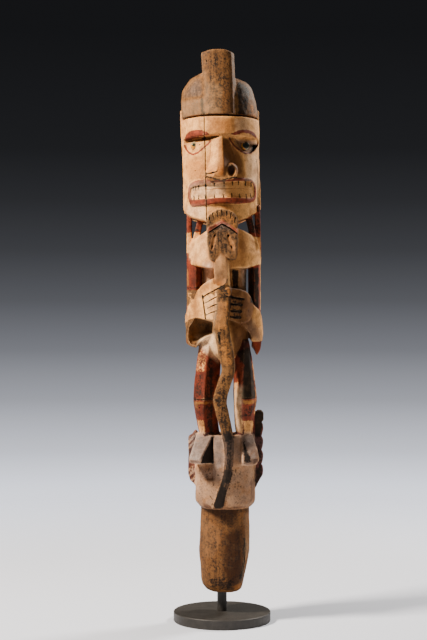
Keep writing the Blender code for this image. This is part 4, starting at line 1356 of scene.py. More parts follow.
@dataclass
class Arms:
    """Upper arms, elbows with their hollows, hands with thumbs, and a broken stub."""

    bench: Bench
    hand_front: float = 0.106
    thumb_front: float = 0.1125
    round_middle: float = 0.004

    def masses(self) -> list[Mass]:
        """Everything of the arms that stands proud."""
        return [*self.upper_arms(), *self.elbows(), *self.hands(), self.stub()]

    def upper_arms(self) -> list[Mass]:
        """Faceted posts down the sides.

        Returns:
            The two arms.
        """
        arms = []
        for name, outer, ridge, inner in (("left upper arm", -0.0878, -0.064, -0.0485),
                ("right upper arm", 0.0958, 0.079, 0.066)):
            rings = [limb_ring(level, outer, ridge, inner, 0.046, 0.012, 0.034) for level in (0.752, 0.83, 0.903)]
            arms.append(Mass(self.bench.rise(name, rings), RED))
        return arms

    def elbows(self) -> list[Mass]:
        """Elbows trimmed to the log, the right one hollowed at the front.

        Returns:
            The two elbows.
        """
        bench = self.bench
        left_line = eased(mm(-91.5, 760, -92.5, 745, -89.8, 730, -89.8, 715, -88.5, 693, -76, 685, -64, 681.5), 3)
        left_line = [*mm(-20, 800, -78, 800), *left_line, *mm(-54, 696, -30, 710)]
        right_line = eased(mm(78, 785, 94, 771, 100, 745, 102, 720, 100, 698), 3)
        right_line = [*mm(30, 800, 70, 800), *right_line, *mm(74.7, 697.5, 64, 710, 48, 740, 30, 760)]
        elbows = []
        right_hollow = mm(20, 756, 48, 740, 60, 727, 68.5, 716, 72, 705, 69, 698, 50, 700, 20, 710)
        for name, line in (("left elbow", left_line), ("right elbow", right_line)):
            rows = mm(600, 6, 97.5, 80, 80, 900, 6, 97.5, 76, 80, row=5)
            elbows.append(Mass(bench.in_log(name, line, rows, 0.032), LIME))
        scoop = bench.dish("right elbow hollow", right_hollow, 0.038, 0.008, (0.045, 0.72), 0.35)
        bench.work(elbows[1].solid, scoop, Cut.TAKE)
        return elbows

    def hollows(self) -> list[Solid]:
        """The tool of the scoop that runs from the left elbow in under the hand.

        Returns:
            The tool, in a list.
        """
        rim = mm(-66.7, 754.9, -41.7, 750, -23.7, 744.5, -24.2, 726, -23, 717, -41.7, 709.7, -54.5, 699, -64, 688,
            -78, 691, -85.5, 707, -81.5, 732)
        return [self.bench.dish("left elbow hollow", rim, 0.03, 0.004, (-0.045, 0.733), 0.7)]

    def hands(self) -> list[Mass]:
        """The two hands that hold the snake, trimmed to the round, with raised thumbs.

        Returns:
            Hands and thumbs.
        """
        bench = self.bench
        left_line = eased(mm(-0.5, 852, -15, 852.2, -30, 847.5, -49.3, 834.4, -64, 816.7, -68.9, 800, -67.5, 785,
            -66, 770, -65.5, 752), 3)
        left_line = [*mm(6, 830, 9, 844), *left_line, *mm(-42, 750, -20, 744, -5, 748, -5, 820)]
        right_line = eased(mm(13, 826, 25.9, 827.5, 56.7, 820.5, 70, 806, 76.2, 784, 74, 765, 66.4, 748.8,
            45.8, 741.5), 3)
        right_line = [*right_line, *mm(17.9, 750, 10, 755, 10, 812)]
        masses = []
        for name, line in (("left hand", left_line), ("right hand", right_line)):
            rows = [(level, self.round_middle, 0.084, front, 0.02)
                for level, front in ((0.7, self.hand_front - 0.002), (0.87, self.hand_front))]
            masses.append(Mass(bench.in_log(name, line, rows, -0.0272), LIME))
        rim = mm(-30, 847.5, 104, -15, 852.2, 106.5, -0.5, 852.4, 111, 9, 848.4, 113.5, 11.8, 844, 114,
            10.2, 839.2, 114, 4.5, 834, 113, -8.9, 827.2, 108.5, -30, 816.5, 104, row=3)
        lip = [(x, -front, z) for x, z, front in rim] + [(x, -0.085, z) for x, z, _ in rim]
        masses.append(Mass(bench.lump("left thumb", lip), LIME))
        nail = [(0.014 + 0.0085 * cos(turn), 0.8178 + 0.0108 * sin(turn))
            for turn in (2 * pi * step / 28 for step in range(28))]
        masses.append(Mass(bench.slab("right thumb", nail, -self.thumb_front, -0.09), OCHRE))
        return masses

    def paint(self) -> list[Mark]:
        """Paint of hands, arms and elbows, with painted shade on the right hand, elbow and belly, and painted light
        on the trunk's right edge.

        Returns:
            The marks, in the order they are laid.
        """
        left_side = mm(-51, 893, -19, 893, -19, 839, -51, 824)
        right_side = mm(44, 879, 63, 879, 63, 824, 44, 824)
        return [
            Dab(OCHRE, mm(-16, 846, -9, 849, 1, 849, 9, 846, 9, 842, 2, 834, -8, 830, -14, 830)),
            Dab(LIME, mm(-38, 845, -14, 851, 3, 852, 10, 847, 7, 839, -10, 831), width=0.0028),
            StainShadeAndLight(mm(-15, 845, -4, 847, 6, 845, -2, 837, -11, 833), 0.5, 0.3),
            Dab(OCHRE, mm(8, 823, 12, 826, 18, 827, 22, 823, 22, 814, 20, 808, 14, 807, 9, 812)),
            StainShadeAndLight(mm(-55, 828, -36, 845, -16, 848, -16, 828, -40, 815, -48, 811), 0.45, 0.1),
            # the right hand: darker for its soiled brown paint, and as painted shade of the snake
            StainShadeAndLight(mm(21, 826, 42, 828, 61, 818, 74, 798, 76, 779, 67, 743, 44, 743, 18, 750), 0.1, 2.3),
            Dab(BLACK, mm(21, 808, 54, 808, 49, 743, 18, 750), 0.34, 0.006),
            Dab(OCHRE, mm(57, 808, 71, 794, 74, 769, 64, 748, 50, 748), 0.3, 0.005),
            Dab(LIME, mm(56, 798, 53, 784, 50, 767, 45, 745), width=0.0016),
            StainShadeAndLight(mm(-65, 823, -60, 820, -66, 798, -65, 777, -60, 755, -66, 755, -71, 777, -71, 801), 0.4, 0.75),
            StainShadeAndLight(mm(-45, 806, -15, 822, -15, 798, -19, 755, -40, 752), 0, -0.4),
            Dab(LIME, left_side, 0.8, 0.004),
            StainShadeAndLight(left_side, -0.5, 0.2),
            Dab(BLACK, mm(21, 876, 43, 876, 43, 824, 21, 824), 0.9, 0.006),
            # the trunk's right edge: lime, paled as painted light of the right lamp
            Dab(LIME, right_side),
            StainShadeAndLight(right_side, -0.5, -0.2),
            StainShadeAndLight(mm(-95, 893, -51, 893, -51, 829, -95, 829), 0.2, 0.35),
            Dab(OCHRE, mm(-90, 888, -82, 876, -80, 832, -90, 832), 0.7),
            Dab(BLACK, mm(-90, 830, -56, 829), width=0.0035),
            Dab(BARE, mm(-90, 825, -61, 825, -66, 790, -90, 785), 0.8, 0.004),
            Dab(LIME, mm(-88, 824, -68, 824, -70, 799, -88, 794), 0.46, 0.005),
            Dab(BLACK, mm(65, 881, 93, 881, 93, 770, 68, 794), 0.72, 0.004),
            Dab(LIME, mm(96, 891, 96, 777), width=0.003),
            *(Dab(coat, mm(-95, 787, -70, 797, -65, 760, -80, 730, -90, 716, -95, 745), 0.3, 0.006)
                for coat in (RED, LIME)),
            Dab(BARE, mm(-95, 740, -80, 752, -65, 756, -21, 750, -20, 716, -41, 708, -54, 697, -63, 679, -90, 684), 1,
                0.004),
            StainShadeAndLight(mm(-65, 756, -21, 750, -20, 716, -41, 708, -55, 713, -65, 730), 0.1, -0.1),
            Dab(RED, mm(-95, 745, -87, 711, -82, 693, -63, 686, -63, 676, -90, 681, -97, 713), 0.42, 0.004),
            *(Dab(coat, mm(77, 784, 87, 779, 98, 755, 99, 725, 87, 745, 79, 765), 0.35, 0.004)
                for coat in (RED, LIME)),
            # the right elbow's lower plane: greyer, and darker as painted shade
            StainShadeAndLight(mm(48, 743, 72, 752, 94, 721, 94, 698, 67, 711), -0.3, 1),
            # the belly's right half: darker, painted shade
            StainShadeAndLight(mm(23, 743, 45, 743, 70, 708, 53, 676, 33, 666), 0.3, 2.2),
            StainShadeAndLight(mm(-63, 708, -41, 711, -21, 716, -16, 676, -11, 647, -36, 666, -55, 686), -0.2, -1.3),
        ]

    def stub(self) -> Mass:
        """The broken end under the right elbow.

        Returns:
            The stub.
        """
        outline = mm(76, 705, 74.5, 683, 77.5, 680, 80.5, 674.5, 85, 664, 88.5, 663, 90, 668, 94.5, 676, 96.8, 690,
            97.5, 705)
        return Mass(self.bench.slab("broken stub", outline, -0.03, 0.02), RED)


@dataclass
class Legs:
    """Two bent legs with a ridge down the front, on wedge-shaped feet."""

    bench: Bench
    sole: float = 0.399

    def masses(self) -> list[Mass]:
        """Legs and feet.

        Returns:
            The masses, each with its ground coat.
        """
        depths = mm(700, 62, 30, 640, 68, 33, 600, 73, 35, 557, 84, 40, 535, 79, 38, 485, 63, 26, 454, 56, 20, row=3)
        left = mm(-55, -30, -1, -63, -38, -4, -68, -42.5, -7, -70.5, -44.5, -17, -69, -46, -16.5, -60, -43.5, -9,
            -52.5, -41, -4, row=3)
        right = mm(66, 54, 25, 76.5, 52, 28.5, 81.5, 47, 29.3, 86, 45.5, 29.5, 83, 46.5, 30, 77.5, 48, 32.5,
            75, 48.5, 38, row=3)
        masses = []
        for name, spans in (("left leg", left), ("right leg", right)):
            rows = eased([(level, *span, front, side, 0.034) for (level, front, side), span in zip(depths, spans)], 4)
            masses.append(Mass(self.bench.rise(name, [limb_ring(*row) for row in rows]), RED))
        left_foot = [
            *mm(-60.5, -45, 476, -25, -56, 466.5, -80, -92, 417, -53, -102, 415, -81.5, -93, 409, -53, -103, 406,
                -80, -88, 401, row=3),
            (-0.053, -0.098, self.sole), (-0.0235, -0.06, self.sole), (-0.07, -0.03, self.sole),
        ]
        right_foot = [
            *mm(45, -58, 467, 74.5, -46, 470, 49, -100, 403, 87, -82, 432, 89.5, -88, 414, 90.5, -86, 409,
                50, -95, 395, 84, -84, 397, 44, -60, 396, row=3),
            (0.078, -0.03, self.sole),
        ]
        masses += [
            Mass(self.bench.lump("left foot", left_foot), LIME),
            Mass(self.bench.lump("right foot", right_foot), LIME),
        ]
        return masses

    def paint(self) -> list[Mark]:
        """Bands and flecks down the legs and on the feet, with painted shade on the feet and painted light on the
        right leg's inner face.

        Returns:
            The marks, in the order they are laid.
        """
        return [
            StainShadeAndLight(mm(-75, 689, -16, 672, -16, 554, -75, 554), 0.1, 0.25),
            StainShadeAndLight(mm(-75, 554, -16, 554, -21, 463, -70, 505), 0.2, 0.5),
            Dab(BLACK, mm(33, 672, 87, 689, 87, 505, 46, 505, 48, 637), 0.5, 0.008),
            Dab(LIME, mm(-63, 691, -33, 672, -36, 647, -41, 618, -70, 618, -65, 652), 0.43, 0.006),
            StainShadeAndLight(mm(-63, 686, -38, 672, -41, 564, -70, 564), -0.1, -0.16),
            Dab(BLACK, mm(-70, 623, -41, 623, -41, 556, -72, 556), 0.48, 0.008),
            StainShadeAndLight(mm(-70, 623, -41, 623, -41, 556, -72, 556), 0.3, 0.35),
            Dab(BLACK, mm(-37, 667, -21, 657, -23, 554, -42, 554), 0.5, 0.004),
            Dab(BLACK, mm(-72, 555, -55, 553, -41, 555, -6, 555), width=0.0032),
            Dab(OCHRE, mm(-72, 552, -9, 552, -9, 542, -71, 542), 0.8),
            Dab(OCHRE, mm(-70, 544, -58, 544, -53, 527, -68, 525), 0.55, 0.004),
            Dab(BLACK, mm(-68, 534, -50, 532, -50, 510, -65, 507), 0.36, 0.004),
            Dab(LIME, mm(-64, 506, -43, 506, -38, 466, -58, 471), 0.8, 0.004),
            Dab(OCHRE, mm(-63, 505, -43, 505, -41, 485, -60, 485), 0.45, 0.005),
            Dab(BLACK, mm(-43, 542, -23, 542, -21, 466, -38, 466), 0.52, 0.004),
            Dab(BLACK, mm(35, 672, 72, 689, 83, 574, 46, 574, 48, 637), 0.55, 0.01),
            Dab(LIME, mm(51, 642, 46, 603, 46, 554, 50, 471, 29, 476, 29, 591, 38, 610)),
            Dab(RED, mm(30, 547, 47, 547, 50, 505, 32, 505), 0.3),
            Dab(RED, mm(34, 642, 51, 642, 48, 583, 38, 583), 0.5, 0.006),
            Dab(OCHRE, mm(33, 527, 39, 527, 39, 490, 34, 488), 0.6),
            # the right leg's inner strip: paler, painted light where the snake's shadow falls
            StainShadeAndLight(mm(47, 583, 44, 554, 45, 471, 30, 476, 33, 574), -0.3, -0.9),
            StainShadeAndLight(mm(38, 588, 46, 588, 45, 549, 37, 549), -0.2, -1),
            Dab(RED, mm(33, 623, 46, 623, 48, 549, 30, 549), 0.22),
            Dab(BLACK, mm(47, 570, 62, 572, 84, 574, 84, 557, 47, 557)),
            Dab(OCHRE, mm(47, 556, 84, 556, 83, 542, 48, 542), 0.8),
            Dab(LIME, mm(50, 504, 79, 504, 77, 468, 52, 468), 0.85),
            Dab(BLACK, mm(28, 569, 28, 520, 29, 473), width=0.0022),
            Dab(LIME, mm(73, 676, 78, 623, 84, 574, 83, 549, 80, 517), width=0.0018),
            StainShadeAndLight(mm(-80, 413, -65, 467, -23, 467, -50, 413), -0.7, 0.4),
            StainShadeAndLight(mm(50, 465, 77, 465, 89, 418, 67, 413), -0.7, 0.55),
            Dab(OCHRE, mm(-81, 412, -53, 412, -53, 400, -80, 400), 0.8),
            Dab(BLACK, mm(-80, 398, -55, 396, -41, 395), width=0.0026),
            # the left foot's inner side: black, for its dark paint and as painted shade
            Dab(BLACK, mm(-22, 464, -21, 396, -52, 402, -48, 416, -38, 435)),
            # the right foot's left part: black and darker, painted shade
            Dab(BLACK, mm(47, 456, 57, 456, 64, 433, 72, 413, 76, 401, 49, 399), 0.85, 0.007),
            StainShadeAndLight(mm(52, 450, 77, 443, 84, 413, 74, 399, 57, 404), -0.2, 1),
            Dab(OCHRE, mm(74, 411, 90, 416, 89, 401, 74, 395), 0.9),
            Dab(LIME, mm(41, 462, 48, 462, 50, 397, 41, 399), 0.9),
        ]


@dataclass
class Snake:
    """The snake down the middle, its shield-shaped head, and the comb of hair above it."""

    bench: Bench
    front: float = 0.11
    edge: float = 0.0038
    shield_front: float = 0.118
    bends: tuple[Station, ...] = mm(914, -3.2, 4.5, 50, 908.5, -3, 10.5, 50, 896, -3, 16.8, 50, 876, -1.5, 18.5, 50,
        859, -1, 19, 50, 810, 3, 18, 50, 770, 0, 17.4, 50, 746, -4.5, 17.3, 50, 726, -3, 19.5, 50, 699, 3.2, 18.2, 55,
        660, 10.2, 19, 74, 630, 15.2, 15.6, 82, 597, 5.6, 17, 84, 556, -6, 16.8, 85, 520, 0.8, 15.8, 83,
        476, 11.2, 13.9, 66, 440, 16.2, 11.2, 50, 400, 15.8, 9.8, 50, 348, 8.5, 7.2, 50, 330, 4.2, 5, 50, row=4)

    def masses(self) -> list[Mass]:
        """Body, tail, shield, comb and chevron.

        Returns:
            The masses, each with its ground coat.
        """
        bench = self.bench
        rings = []
        for level, middle, half, back in eased(self.bends, 3):
            edge = min(self.edge, 0.4 * half)
            front = self.front - 0.022 * max(0.0, (0.56 - level) / 0.2) - 0.005 * max(0.0, (0.362 - level) / 0.032)
            front += 0.006 * min(1.0, max(0.0, (level - 0.852) / 0.02))
            rings.append([(middle - half, -back, level), (middle - half, -front + edge + 0.001, level),
                (middle - half + edge, -front + 0.0006, level), (middle, -front - 0.0012, level),
                (middle + half - edge, -front + 0.0006, level), (middle + half, -front + edge + 0.001, level),
                (middle + half, -back, level)])
        body = bench.rise("snake", rings)
        tail = bench.slab("snake tail", mm(2, 362, 14.5, 358, 8.5, 330, 0.5, 289, -26.5, 289, -13.5, 325), -0.081,
            -0.06)
        shield_line = eased(mm(3.9, 981.5, -18, 973.5, -36.2, 956, -36.8, 940, -34.5, 924.1, -31, 903, -26.5, 895.5,
            -20.5, 898.5, -12, 908.5, -3, 916, 8, 909, 15, 900, 22, 897, 32.5, 898.5, 36.5, 915, 38.5, 940, 37, 956,
            24, 972), 2, closed=True)
        shield = bench.slab("shield", shield_line, -self.shield_front, -0.085)
        comb_line = [(0.0385 * cos(turn), 0.987 + 0.031 * sin(turn))
            for turn in (radians(180 * step / 24) for step in range(25))]
        comb_line += mm(-37.2, 964, 36.5, 964)
        comb = bench.slab("comb", comb_line, -0.115, -0.07)
        chevron = bench.slab("chevron", mm(-36.8, 959.5, -19, 971.5, -1, 983.5, 17, 973.5, 37.2, 958, 38.5, 968,
            34, 970, -1, 991.2, -35.5, 972.4, -38, 969), -0.119, -0.0715)
        return [Mass(body, BARE), Mass(tail, BLACK), Mass(shield, BARE), Mass(comb, BARE), Mass(chevron, RED)]

    def paint(self) -> list[Mark]:
        """Paint of the comb, the shield and the snake.

        Returns:
            The marks, in the order they are laid.
        """
        edges = (tuple((middle + side * half, level) for level, middle, half, _ in self.bends[2:-2])
            for side in (-0.86, 0.86))
        face = mm(-38, 953, -21, 970, 1, 983, 22, 971, 39, 951, 39, 905, 27, 896, 13, 905, -4, 917, -16, 902,
            -26, 894, -33, 914)
        return [
            Dab(OCHRE, mm(-38, 963, -36, 992, -21, 1014, 1, 1021, 20, 1014, 32, 997, 37, 963, 18, 977, 1, 988,
                -21, 975), 0.5),
            Dab(LIME, mm(-38, 977, -33, 997, -21, 1014, 1, 1020, 1, 1007, -21, 994, -31, 977), 0.42, 0.004),
            Dab(LIME, mm(-36, 970, -21, 981, -7, 990, -4, 986, -21, 975, -36, 965), 0.45),
            Dab(BLACK, face, 0.4, 0.004),
            StainShadeAndLight(face, -0.1, 0.1),
            Dab(OCHRE, mm(-17, 965, -15, 953, -16, 941, -19, 926, -23, 917, -29, 917, -31, 929, -27, 946)),
            Dab(OCHRE, mm(12, 963, 19, 953, 26, 941, 31, 929, 30, 918, 23, 916, 18, 928, 13, 946)),
            Dab(OCHRE, mm(35, 934, 41, 936, 41, 902, 33, 901), 0.7),
            StainShadeAndLight(mm(-9, 980, 13, 982, 15, 970, -7, 967), -0.8, -0.1),
            Dab(OCHRE, mm(-23, 888, -17, 907, -4, 916, 10, 907, 20, 881, 24, 835, 3, 835, -23, 837)),
            StainShadeAndLight(mm(-23, 888, -17, 907, -4, 916, 10, 907, 20, 881, 20, 842, 3, 835, -23, 837), 0.25, -0.32),
            Dab(LIME, mm(14, 891, 15, 866, 16, 837), width=0.003),
            Dab(BLACK, mm(-8, 837, 3, 832, 20, 832, 23, 806, 15, 796, -2, 791, -9, 806), 0.62),
            Dab(OCHRE, mm(-26, 803, -2, 798, 18, 796, 18, 723, -23, 723), 0.72, 0.006),
            Dab(BLACK, mm(-11, 735, 13, 738, 15, 711, -7, 711), 0.5),
            Dab(OCHRE, mm(-16, 716, 25, 716, 32, 634, -7, 634), 0.46, 0.01),
            Dab(BLACK, mm(-23, 624, 32, 629, 32, 459, -23, 459), 0.52, 0.012),
            Dab(BLACK, mm(5, 474, 30, 474, 28, 396, 20, 353, 3, 353, 6, 411), 0.64, 0.005),
            StainShadeAndLight(mm(-23, 801, 18, 796, 18, 735, -23, 735), 0.15, -0.12),
            Dab(BLACK, mm(-10, 716, -8, 706, -8, 693), width=0.004),
            *(Dab(LIME, line, 0.8, width=0.0032) for line in edges),
        ]

    def hollows(self) -> list[Solid]:
        """Tools for the almond shapes in the shield and for the slot over it.

        Returns:
            The tools.
        """
        almonds = (
            ("left almond", mm(-15.2, 965, -21, 954.5, -26.2, 938.6, -27.8, 924.1, -24.7, 918, -19, 926.5, -15, 941,
                -13.8, 956)),
            ("right almond", mm(12.6, 963, 11.6, 949, 16, 933.7, 22, 920.4, 28.5, 918, 30.3, 928.9, 26.5, 943.4,
                20, 956)),
        )
        return [self.bench.slab(name, eased(line, 3, closed=True), -0.2, -self.shield_front + 0.0022)
            for name, line in almonds]


@dataclass
class Base:
    """The block under the feet, the notched wings beside it, and the tang."""

    bench: Bench
    foot: float = 0.2855
    top: float = 0.466
    middle: float = 0.0085
    half_width: float = 0.0745
    front: float = 0.077
    tang_foot: float = 0.076
    tang_half: float = 0.0625
    tang_depth: float = 0.056
    socket_radius: float = 0.0123
    socket_top: float = 0.1283

    def block_rows(self) -> list[Station]:
        """Level stations of the block.

        Returns:
            The stations, from the foot up.
        """
        mid, half, front = self.middle, self.half_width, self.front
        return [
            (self.foot, mid, half - 0.013, front - 0.004, 0.066),
            (self.foot + 0.004, mid, half - 0.008, front - 0.001, 0.068),
            (self.foot + 0.012, mid, half - 0.002, front, 0.07), (self.foot + 0.022, mid, half, front, 0.07),
            (0.36, mid, half, front - 0.002, 0.07), (0.42, mid + 0.0005, half - 0.0005, front - 0.004, 0.07),
            (self.top, mid + 0.001, half - 0.003, front - 0.012, 0.066),
        ]

    def masses(self) -> list[Mass]:
        """Block, wings and tang.

        Returns:
            The masses, each with its ground coat.
        """
        bench = self.bench
        block = bench.log("block", self.block_rows(), 0.9, 3)
        recess = mm(-62.5, 464, -62.5, 396, -57, 372, -50, 362, -40, 358, -29, 357, -21.2, 358.5, -21.2, 464)
        core = [(level, self.middle, self.half_width - 0.001, self.front - sink, 0.06)
            for level, sink in ((0.3, 0.001), (0.355, 0.004), (0.48, 0.034))]
        bench.work(block, bench.over_log("foot recess", recess, core), Cut.TAKE)
        right_wing = [*mm(70, 342, 85, 334, 96, 356)]
        for level in (0.389, 0.424, 0.459, 0.495):
            right_wing += [(0.1015, level - 0.024), (0.1028, level - 0.014), (0.102, level - 0.004), (0.0985, level)]
        right_wing += mm(103.5, 500, 104, 518, 98.5, 524.5, 90, 524.5, 83, 519, 70, 470)
        left_wing = mm(-60, 468, -65.5, 475, -70, 471, -74.5, 464, -83, 460, -84.5, 453, -83.8, 420, -84.5, 366,
            -80, 351, -70, 342, -66.5, 337, -60, 342)
        drill = [(level, 0, *3 * [self.socket_radius]) for level in (0.05, self.socket_top)]
        socket = bench.log("rod socket", drill, between=1, sides=32)
        start, half, deep = self.tang_foot, self.tang_half, self.tang_depth
        tang = bench.log("tang", [(start, 0.006, 0.034, 0.036, 0.036), (start + 0.003, 0.005, 0.0405, 0.041, 0.041),
            (start + 0.008, 0.0035, 0.0457, 0.046, 0.046), (start + 0.025, 0.001, 0.0525, 0.051, 0.051),
            (start + 0.061, 0.004, 0.0575, 0.054, 0.054), (0.172, 0.0055, half, deep, deep),
            (0.22, 0.007, half - 0.0005, deep, deep), (self.foot + 0.01, 0.0075, half - 0.003, deep, deep)], 0.85, 3)
        facet = [(x, y, z) for z in (0.05, 0.28) for x, y in ((0.048, -0.07), (0.076, -0.034), (0.09, -0.07))]
        bench.work(tang, bench.lump("tang facet", facet), Cut.TAKE)
        bench.work(tang, socket, Cut.TAKE)
        return [
            Mass(block, LIME), Mass(bench.slab("right wing", right_wing, -0.012, 0.03), RED),
            Mass(bench.slab("left wing", left_wing, -0.01, 0.032), RED), Mass(tang, BARE),
        ]

    def paint(self) -> list[Mark]:
        """Paint of the block, wings and tang, with painted shade under the left foot and on the tang, and painted
        light on the tang's right face.

        Returns:
            The marks, in the order they are laid.
        """
        left_wing = mm(-88, 470, -54, 470, -58, 325, -88, 350)
        scratches = (
            (-84, 445, -64, 468), (-84, 430, -68, 448), (-84, 375, -74, 385), (-84, 360, -66, 380),
            (-78, 348, -65, 362), (-74, 338, -65, 348),
        )
        return [
            StainShadeAndLight(mm(-119, 471, 121, 471, 121, 393, -119, 393), -0.55, 0.7, around=True),
            StainShadeAndLight(mm(-104, 383, 121, 393, 111, 280, -99, 280), -0.4, 0.75, around=True),
            StainShadeAndLight(mm(-21, 466, -1, 466, 3, 383, -1, 358, -21, 358), -0.4, 0.25),
            Dab(OCHRE, mm(-68, 324, -41, 317, -26, 290, -45, 290, -65, 302), 0.42, 0.006),
            Dab(LIME, mm(-3, 356, -14, 327, -24, 292), width=0.0065),
            Dab(BARE, mm(23, 393, 57, 393, 60, 297, 8, 290, 18, 344), 0.22, 0.01),
            Dab(OCHRE, mm(67, 363, 83, 363, 83, 305, 67, 297), 0.6, 0.005),
            Dab(OCHRE, mm(-48, 296, 67, 296, 57, 285, -41, 285), 0.55),
            Dab(BLACK, mm(-80, 383, 96, 383, 87, 290, -70, 290), 0.22, 0.006),
            # the recess under the left foot: flecks of bare wood, and darker as painted shadow of the foot
            Dab(BARE, mm(-61, 390, -23, 390, -23, 358, -45, 358, -58, 373), 0.3),
            StainShadeAndLight(mm(-61, 390, -23, 390, -23, 358, -45, 358, -58, 373), -0.2, 0.8),
            StainShadeAndLight(mm(-41, 393, -22, 393, -22, 358, -36, 358), 0, 0.8),
            Dab(LIME, left_wing, 0.24, 0.004),
            Dab(BLACK, mm(82, 528, 105, 528, 104, 498, 94, 460, 82, 460), 1, 0.004),
            Dab(BLACK, mm(84, 460, 104, 460, 104, 335, 84, 335), 0.5, 0.006),
            *(Dab(LIME, mm(*line), width=0.0012) for line in scratches),
            StainShadeAndLight(left_wing, -0.1, -0.22),
            StainShadeAndLight(mm(-60, 287, 73, 287, 58, 158, 38, 70, -41, 70, -58, 158), 0.2, 0.18),
            Dab(BLACK, mm(-51, 269, 9, 232, 9, 122, -51, 122), 0.3, 0.01),
            Dab(BLACK, mm(52, 220, 63, 208, 60, 154, 46, 99, 33, 89, 43, 134), 0.5, 0.006),
            Dab(BLACK, mm(-41, 119, 38, 119, 28, 85, 4, 75, -31, 85), 0.55, 0.008),
            Dab(OCHRE, mm(21, 92, 36, 99, 50, 100, 48, 87, 33, 78), 0.85),
            StainShadeAndLight(mm(-58, 277, -46, 272, 9, 232, -16, 158, -53, 158), 0.4, -0.25),
            # the tang's right facet: paler, painted light of the right lamp
            StainShadeAndLight(mm(48, 284, 67, 284, 67, 158, 50, 158), 0.5, -0.3),
            # the tang's middle: darker, painted shade
            StainShadeAndLight(mm(9, 223, 50, 237, 50, 109, 23, 80, 4, 134), 0.1, 0.9),
            # the top of the tang: darker, painted shadow of the block
            StainShadeAndLight(mm(-48, 287, 43, 287, 26, 242, -21, 267), 0.1, 0.8),
        ]


# ---- fine cuts


@dataclass(frozen=True)
class Groove:
    """A line cut with a V tool along (x, z) points, its mouth and depth tapering at the ends if it runs out."""

    path: tuple[Point2, ...]
    width: float
    depth: float
    taper: tuple[bool, bool] = (False, False)


@dataclass(frozen=True)
class Notch:
    """A three-sided chip: widest and deepest at its head, running out at its tip."""

    head: Point2
    tip: Point2
    width: float
    depth: float


@dataclass(frozen=True)
class Hole:
    """A small round hole, left by a peg or a beetle."""

    place: Point2
    radius: float
    depth: float = 0.006


Work = Groove | Notch | Hole


@dataclass
class Engraver:
    """Cuts the fine lines into the smoothed carving, each at the depth of the skin where it lies."""

    bench: Bench
    figure: Solid
    stand_off: float = 0.0015
    end_share: float = 0.12
    taper_run: float = 0.6

    def __post_init__(self) -> None:
        """Feel the skin once, before anything is cut."""
        self.skin = feel(self.figure)

    def depth_at(self, x: float, z: float) -> float:
        """Where the skin lies, seen from the front."""
        hit = self.skin.ray_cast(Vector((x, -0.3, z)), Vector((0, 1, 0)))[0]
        return hit.y if hit else 0.0

    def groove(self, line: Groove) -> Solid:
        """Make the tool of a groove: a three-sided bar that follows the skin.

        Args:
            line: the groove.

        Returns:
            The tool.
        """
        points = walked(line.path)
        spots = [Vector((x, self.depth_at(x, z), z)) for x, z in points]
        rings = []
        last = len(spots) - 1
        for index, spot in enumerate(spots):
            along = spots[min(index + 1, last)] - spots[max(index - 1, 0)]
            across = Vector((along.z, 0, -along.x)).normalized()
            share = 1.0
            if line.taper[0]:
                share = min(share, self.end_share + index / (self.taper_run * last))
            if line.taper[1]:
                share = min(share, self.end_share + (last - index) / (self.taper_run * last))
            half = 0.5 * line.width * share * (1 + self.stand_off / (line.depth * share))
            out = Vector((0, -self.stand_off, 0))
            rings.append([tuple(spot + out + across * half), tuple(spot + out - across * half),
                tuple(spot + Vector((0, line.depth * share, 0)))])
        return self.bench.rise("groove", rings)

    def notch(self, chip: Notch) -> Solid:
        """Make the tool of a notch.

        Args:
            chip: the notch.

        Returns:
            The tool.
        """
        head, tip = Vector(chip.head), Vector(chip.tip)
        run = (tip - head).normalized()
        across = Vector((run.y, -run.x)) * chip.width / 2
        mouth = self.depth_at(*head.lerp(tip, 0.4)) - self.stand_off
        rim = (head + across, head - across, tip)
        heel = head.lerp(tip, 0.12)
        floor = mouth + self.stand_off + chip.depth
        rings = [
            [(spot.x, mouth, spot.y) for spot in rim],
            [(heel.lerp(spot, 0.06).x, floor, heel.lerp(spot, 0.06).y) for spot in rim],
        ]
        return self.bench.rise("notch", rings)

    def hole(self, spot: Hole) -> Solid:
        """Make the tool of a small hole, a little uneven round its rim.

        Args:
            spot: the hole.

        Returns:
            The tool.
        """
        x, z = spot.place
        rim = [(x + spot.radius * (1 + 0.18 * cos(3 * turn + x * 900)) * cos(turn), z + spot.radius * sin(turn))
            for turn in (2 * pi * step / 10 for step in range(10))]
        depth = self.depth_at(x, z)
        return self.bench.slab("hole", rim, depth - 0.004, depth + spot.depth)

    def tool(self, work: Work) -> Solid:
        """Make the tool of one line, chip or hole."""
        makers = {Groove: self.groove, Notch: self.notch, Hole: self.hole}
        return makers[type(work)](work)

    def cut(self, rounds: Sequence[Sequence[Work]]) -> None:
        """Cut every line, chip and hole, those of one round together because they don't touch."""
        for works in rounds:
            self.bench.work(self.figure, self.bench.gang([self.tool(work) for work in works]), Cut.TAKE)


CRACK = mm(-44.2, 1256, -44, 1200, -41.6, 1164, -41.4, 1115, -40.3, 1091, -39.2, 1042, -38, 985)
TEETH_TOP = mm(-71, 1078.5, -64.9, 1079.2, -57.6, 1080.2, -40.5, 1082.1, -19.3, 1084.3, 4.6, 1087.2, 25.3, 1088.2,
    39.9, 1089.6, 57.7, 1090.5, 71.2, 1088.5)
TEETH_FOOT = mm(-68.6, 1044.8, -57.1, 1045.2, -40.5, 1046.2, -18.6, 1047.2, 3.4, 1048, 24.1, 1048.2, 43.1, 1048.5,
    59.9, 1048.9, 71.2, 1050)
COMB_SLITS = (
    mm(-31.8, 999, -29.4, 986), mm(-23.2, 1010, -20.6, 993), mm(-13, 1017.5, -11.2, 1001), mm(-2, 1020.5, -1.2, 1004),
    mm(11.6, 1018, 9.8, 1002.5), mm(22, 1011, 19, 995.5), mm(32.2, 999, 29, 986.5),
)


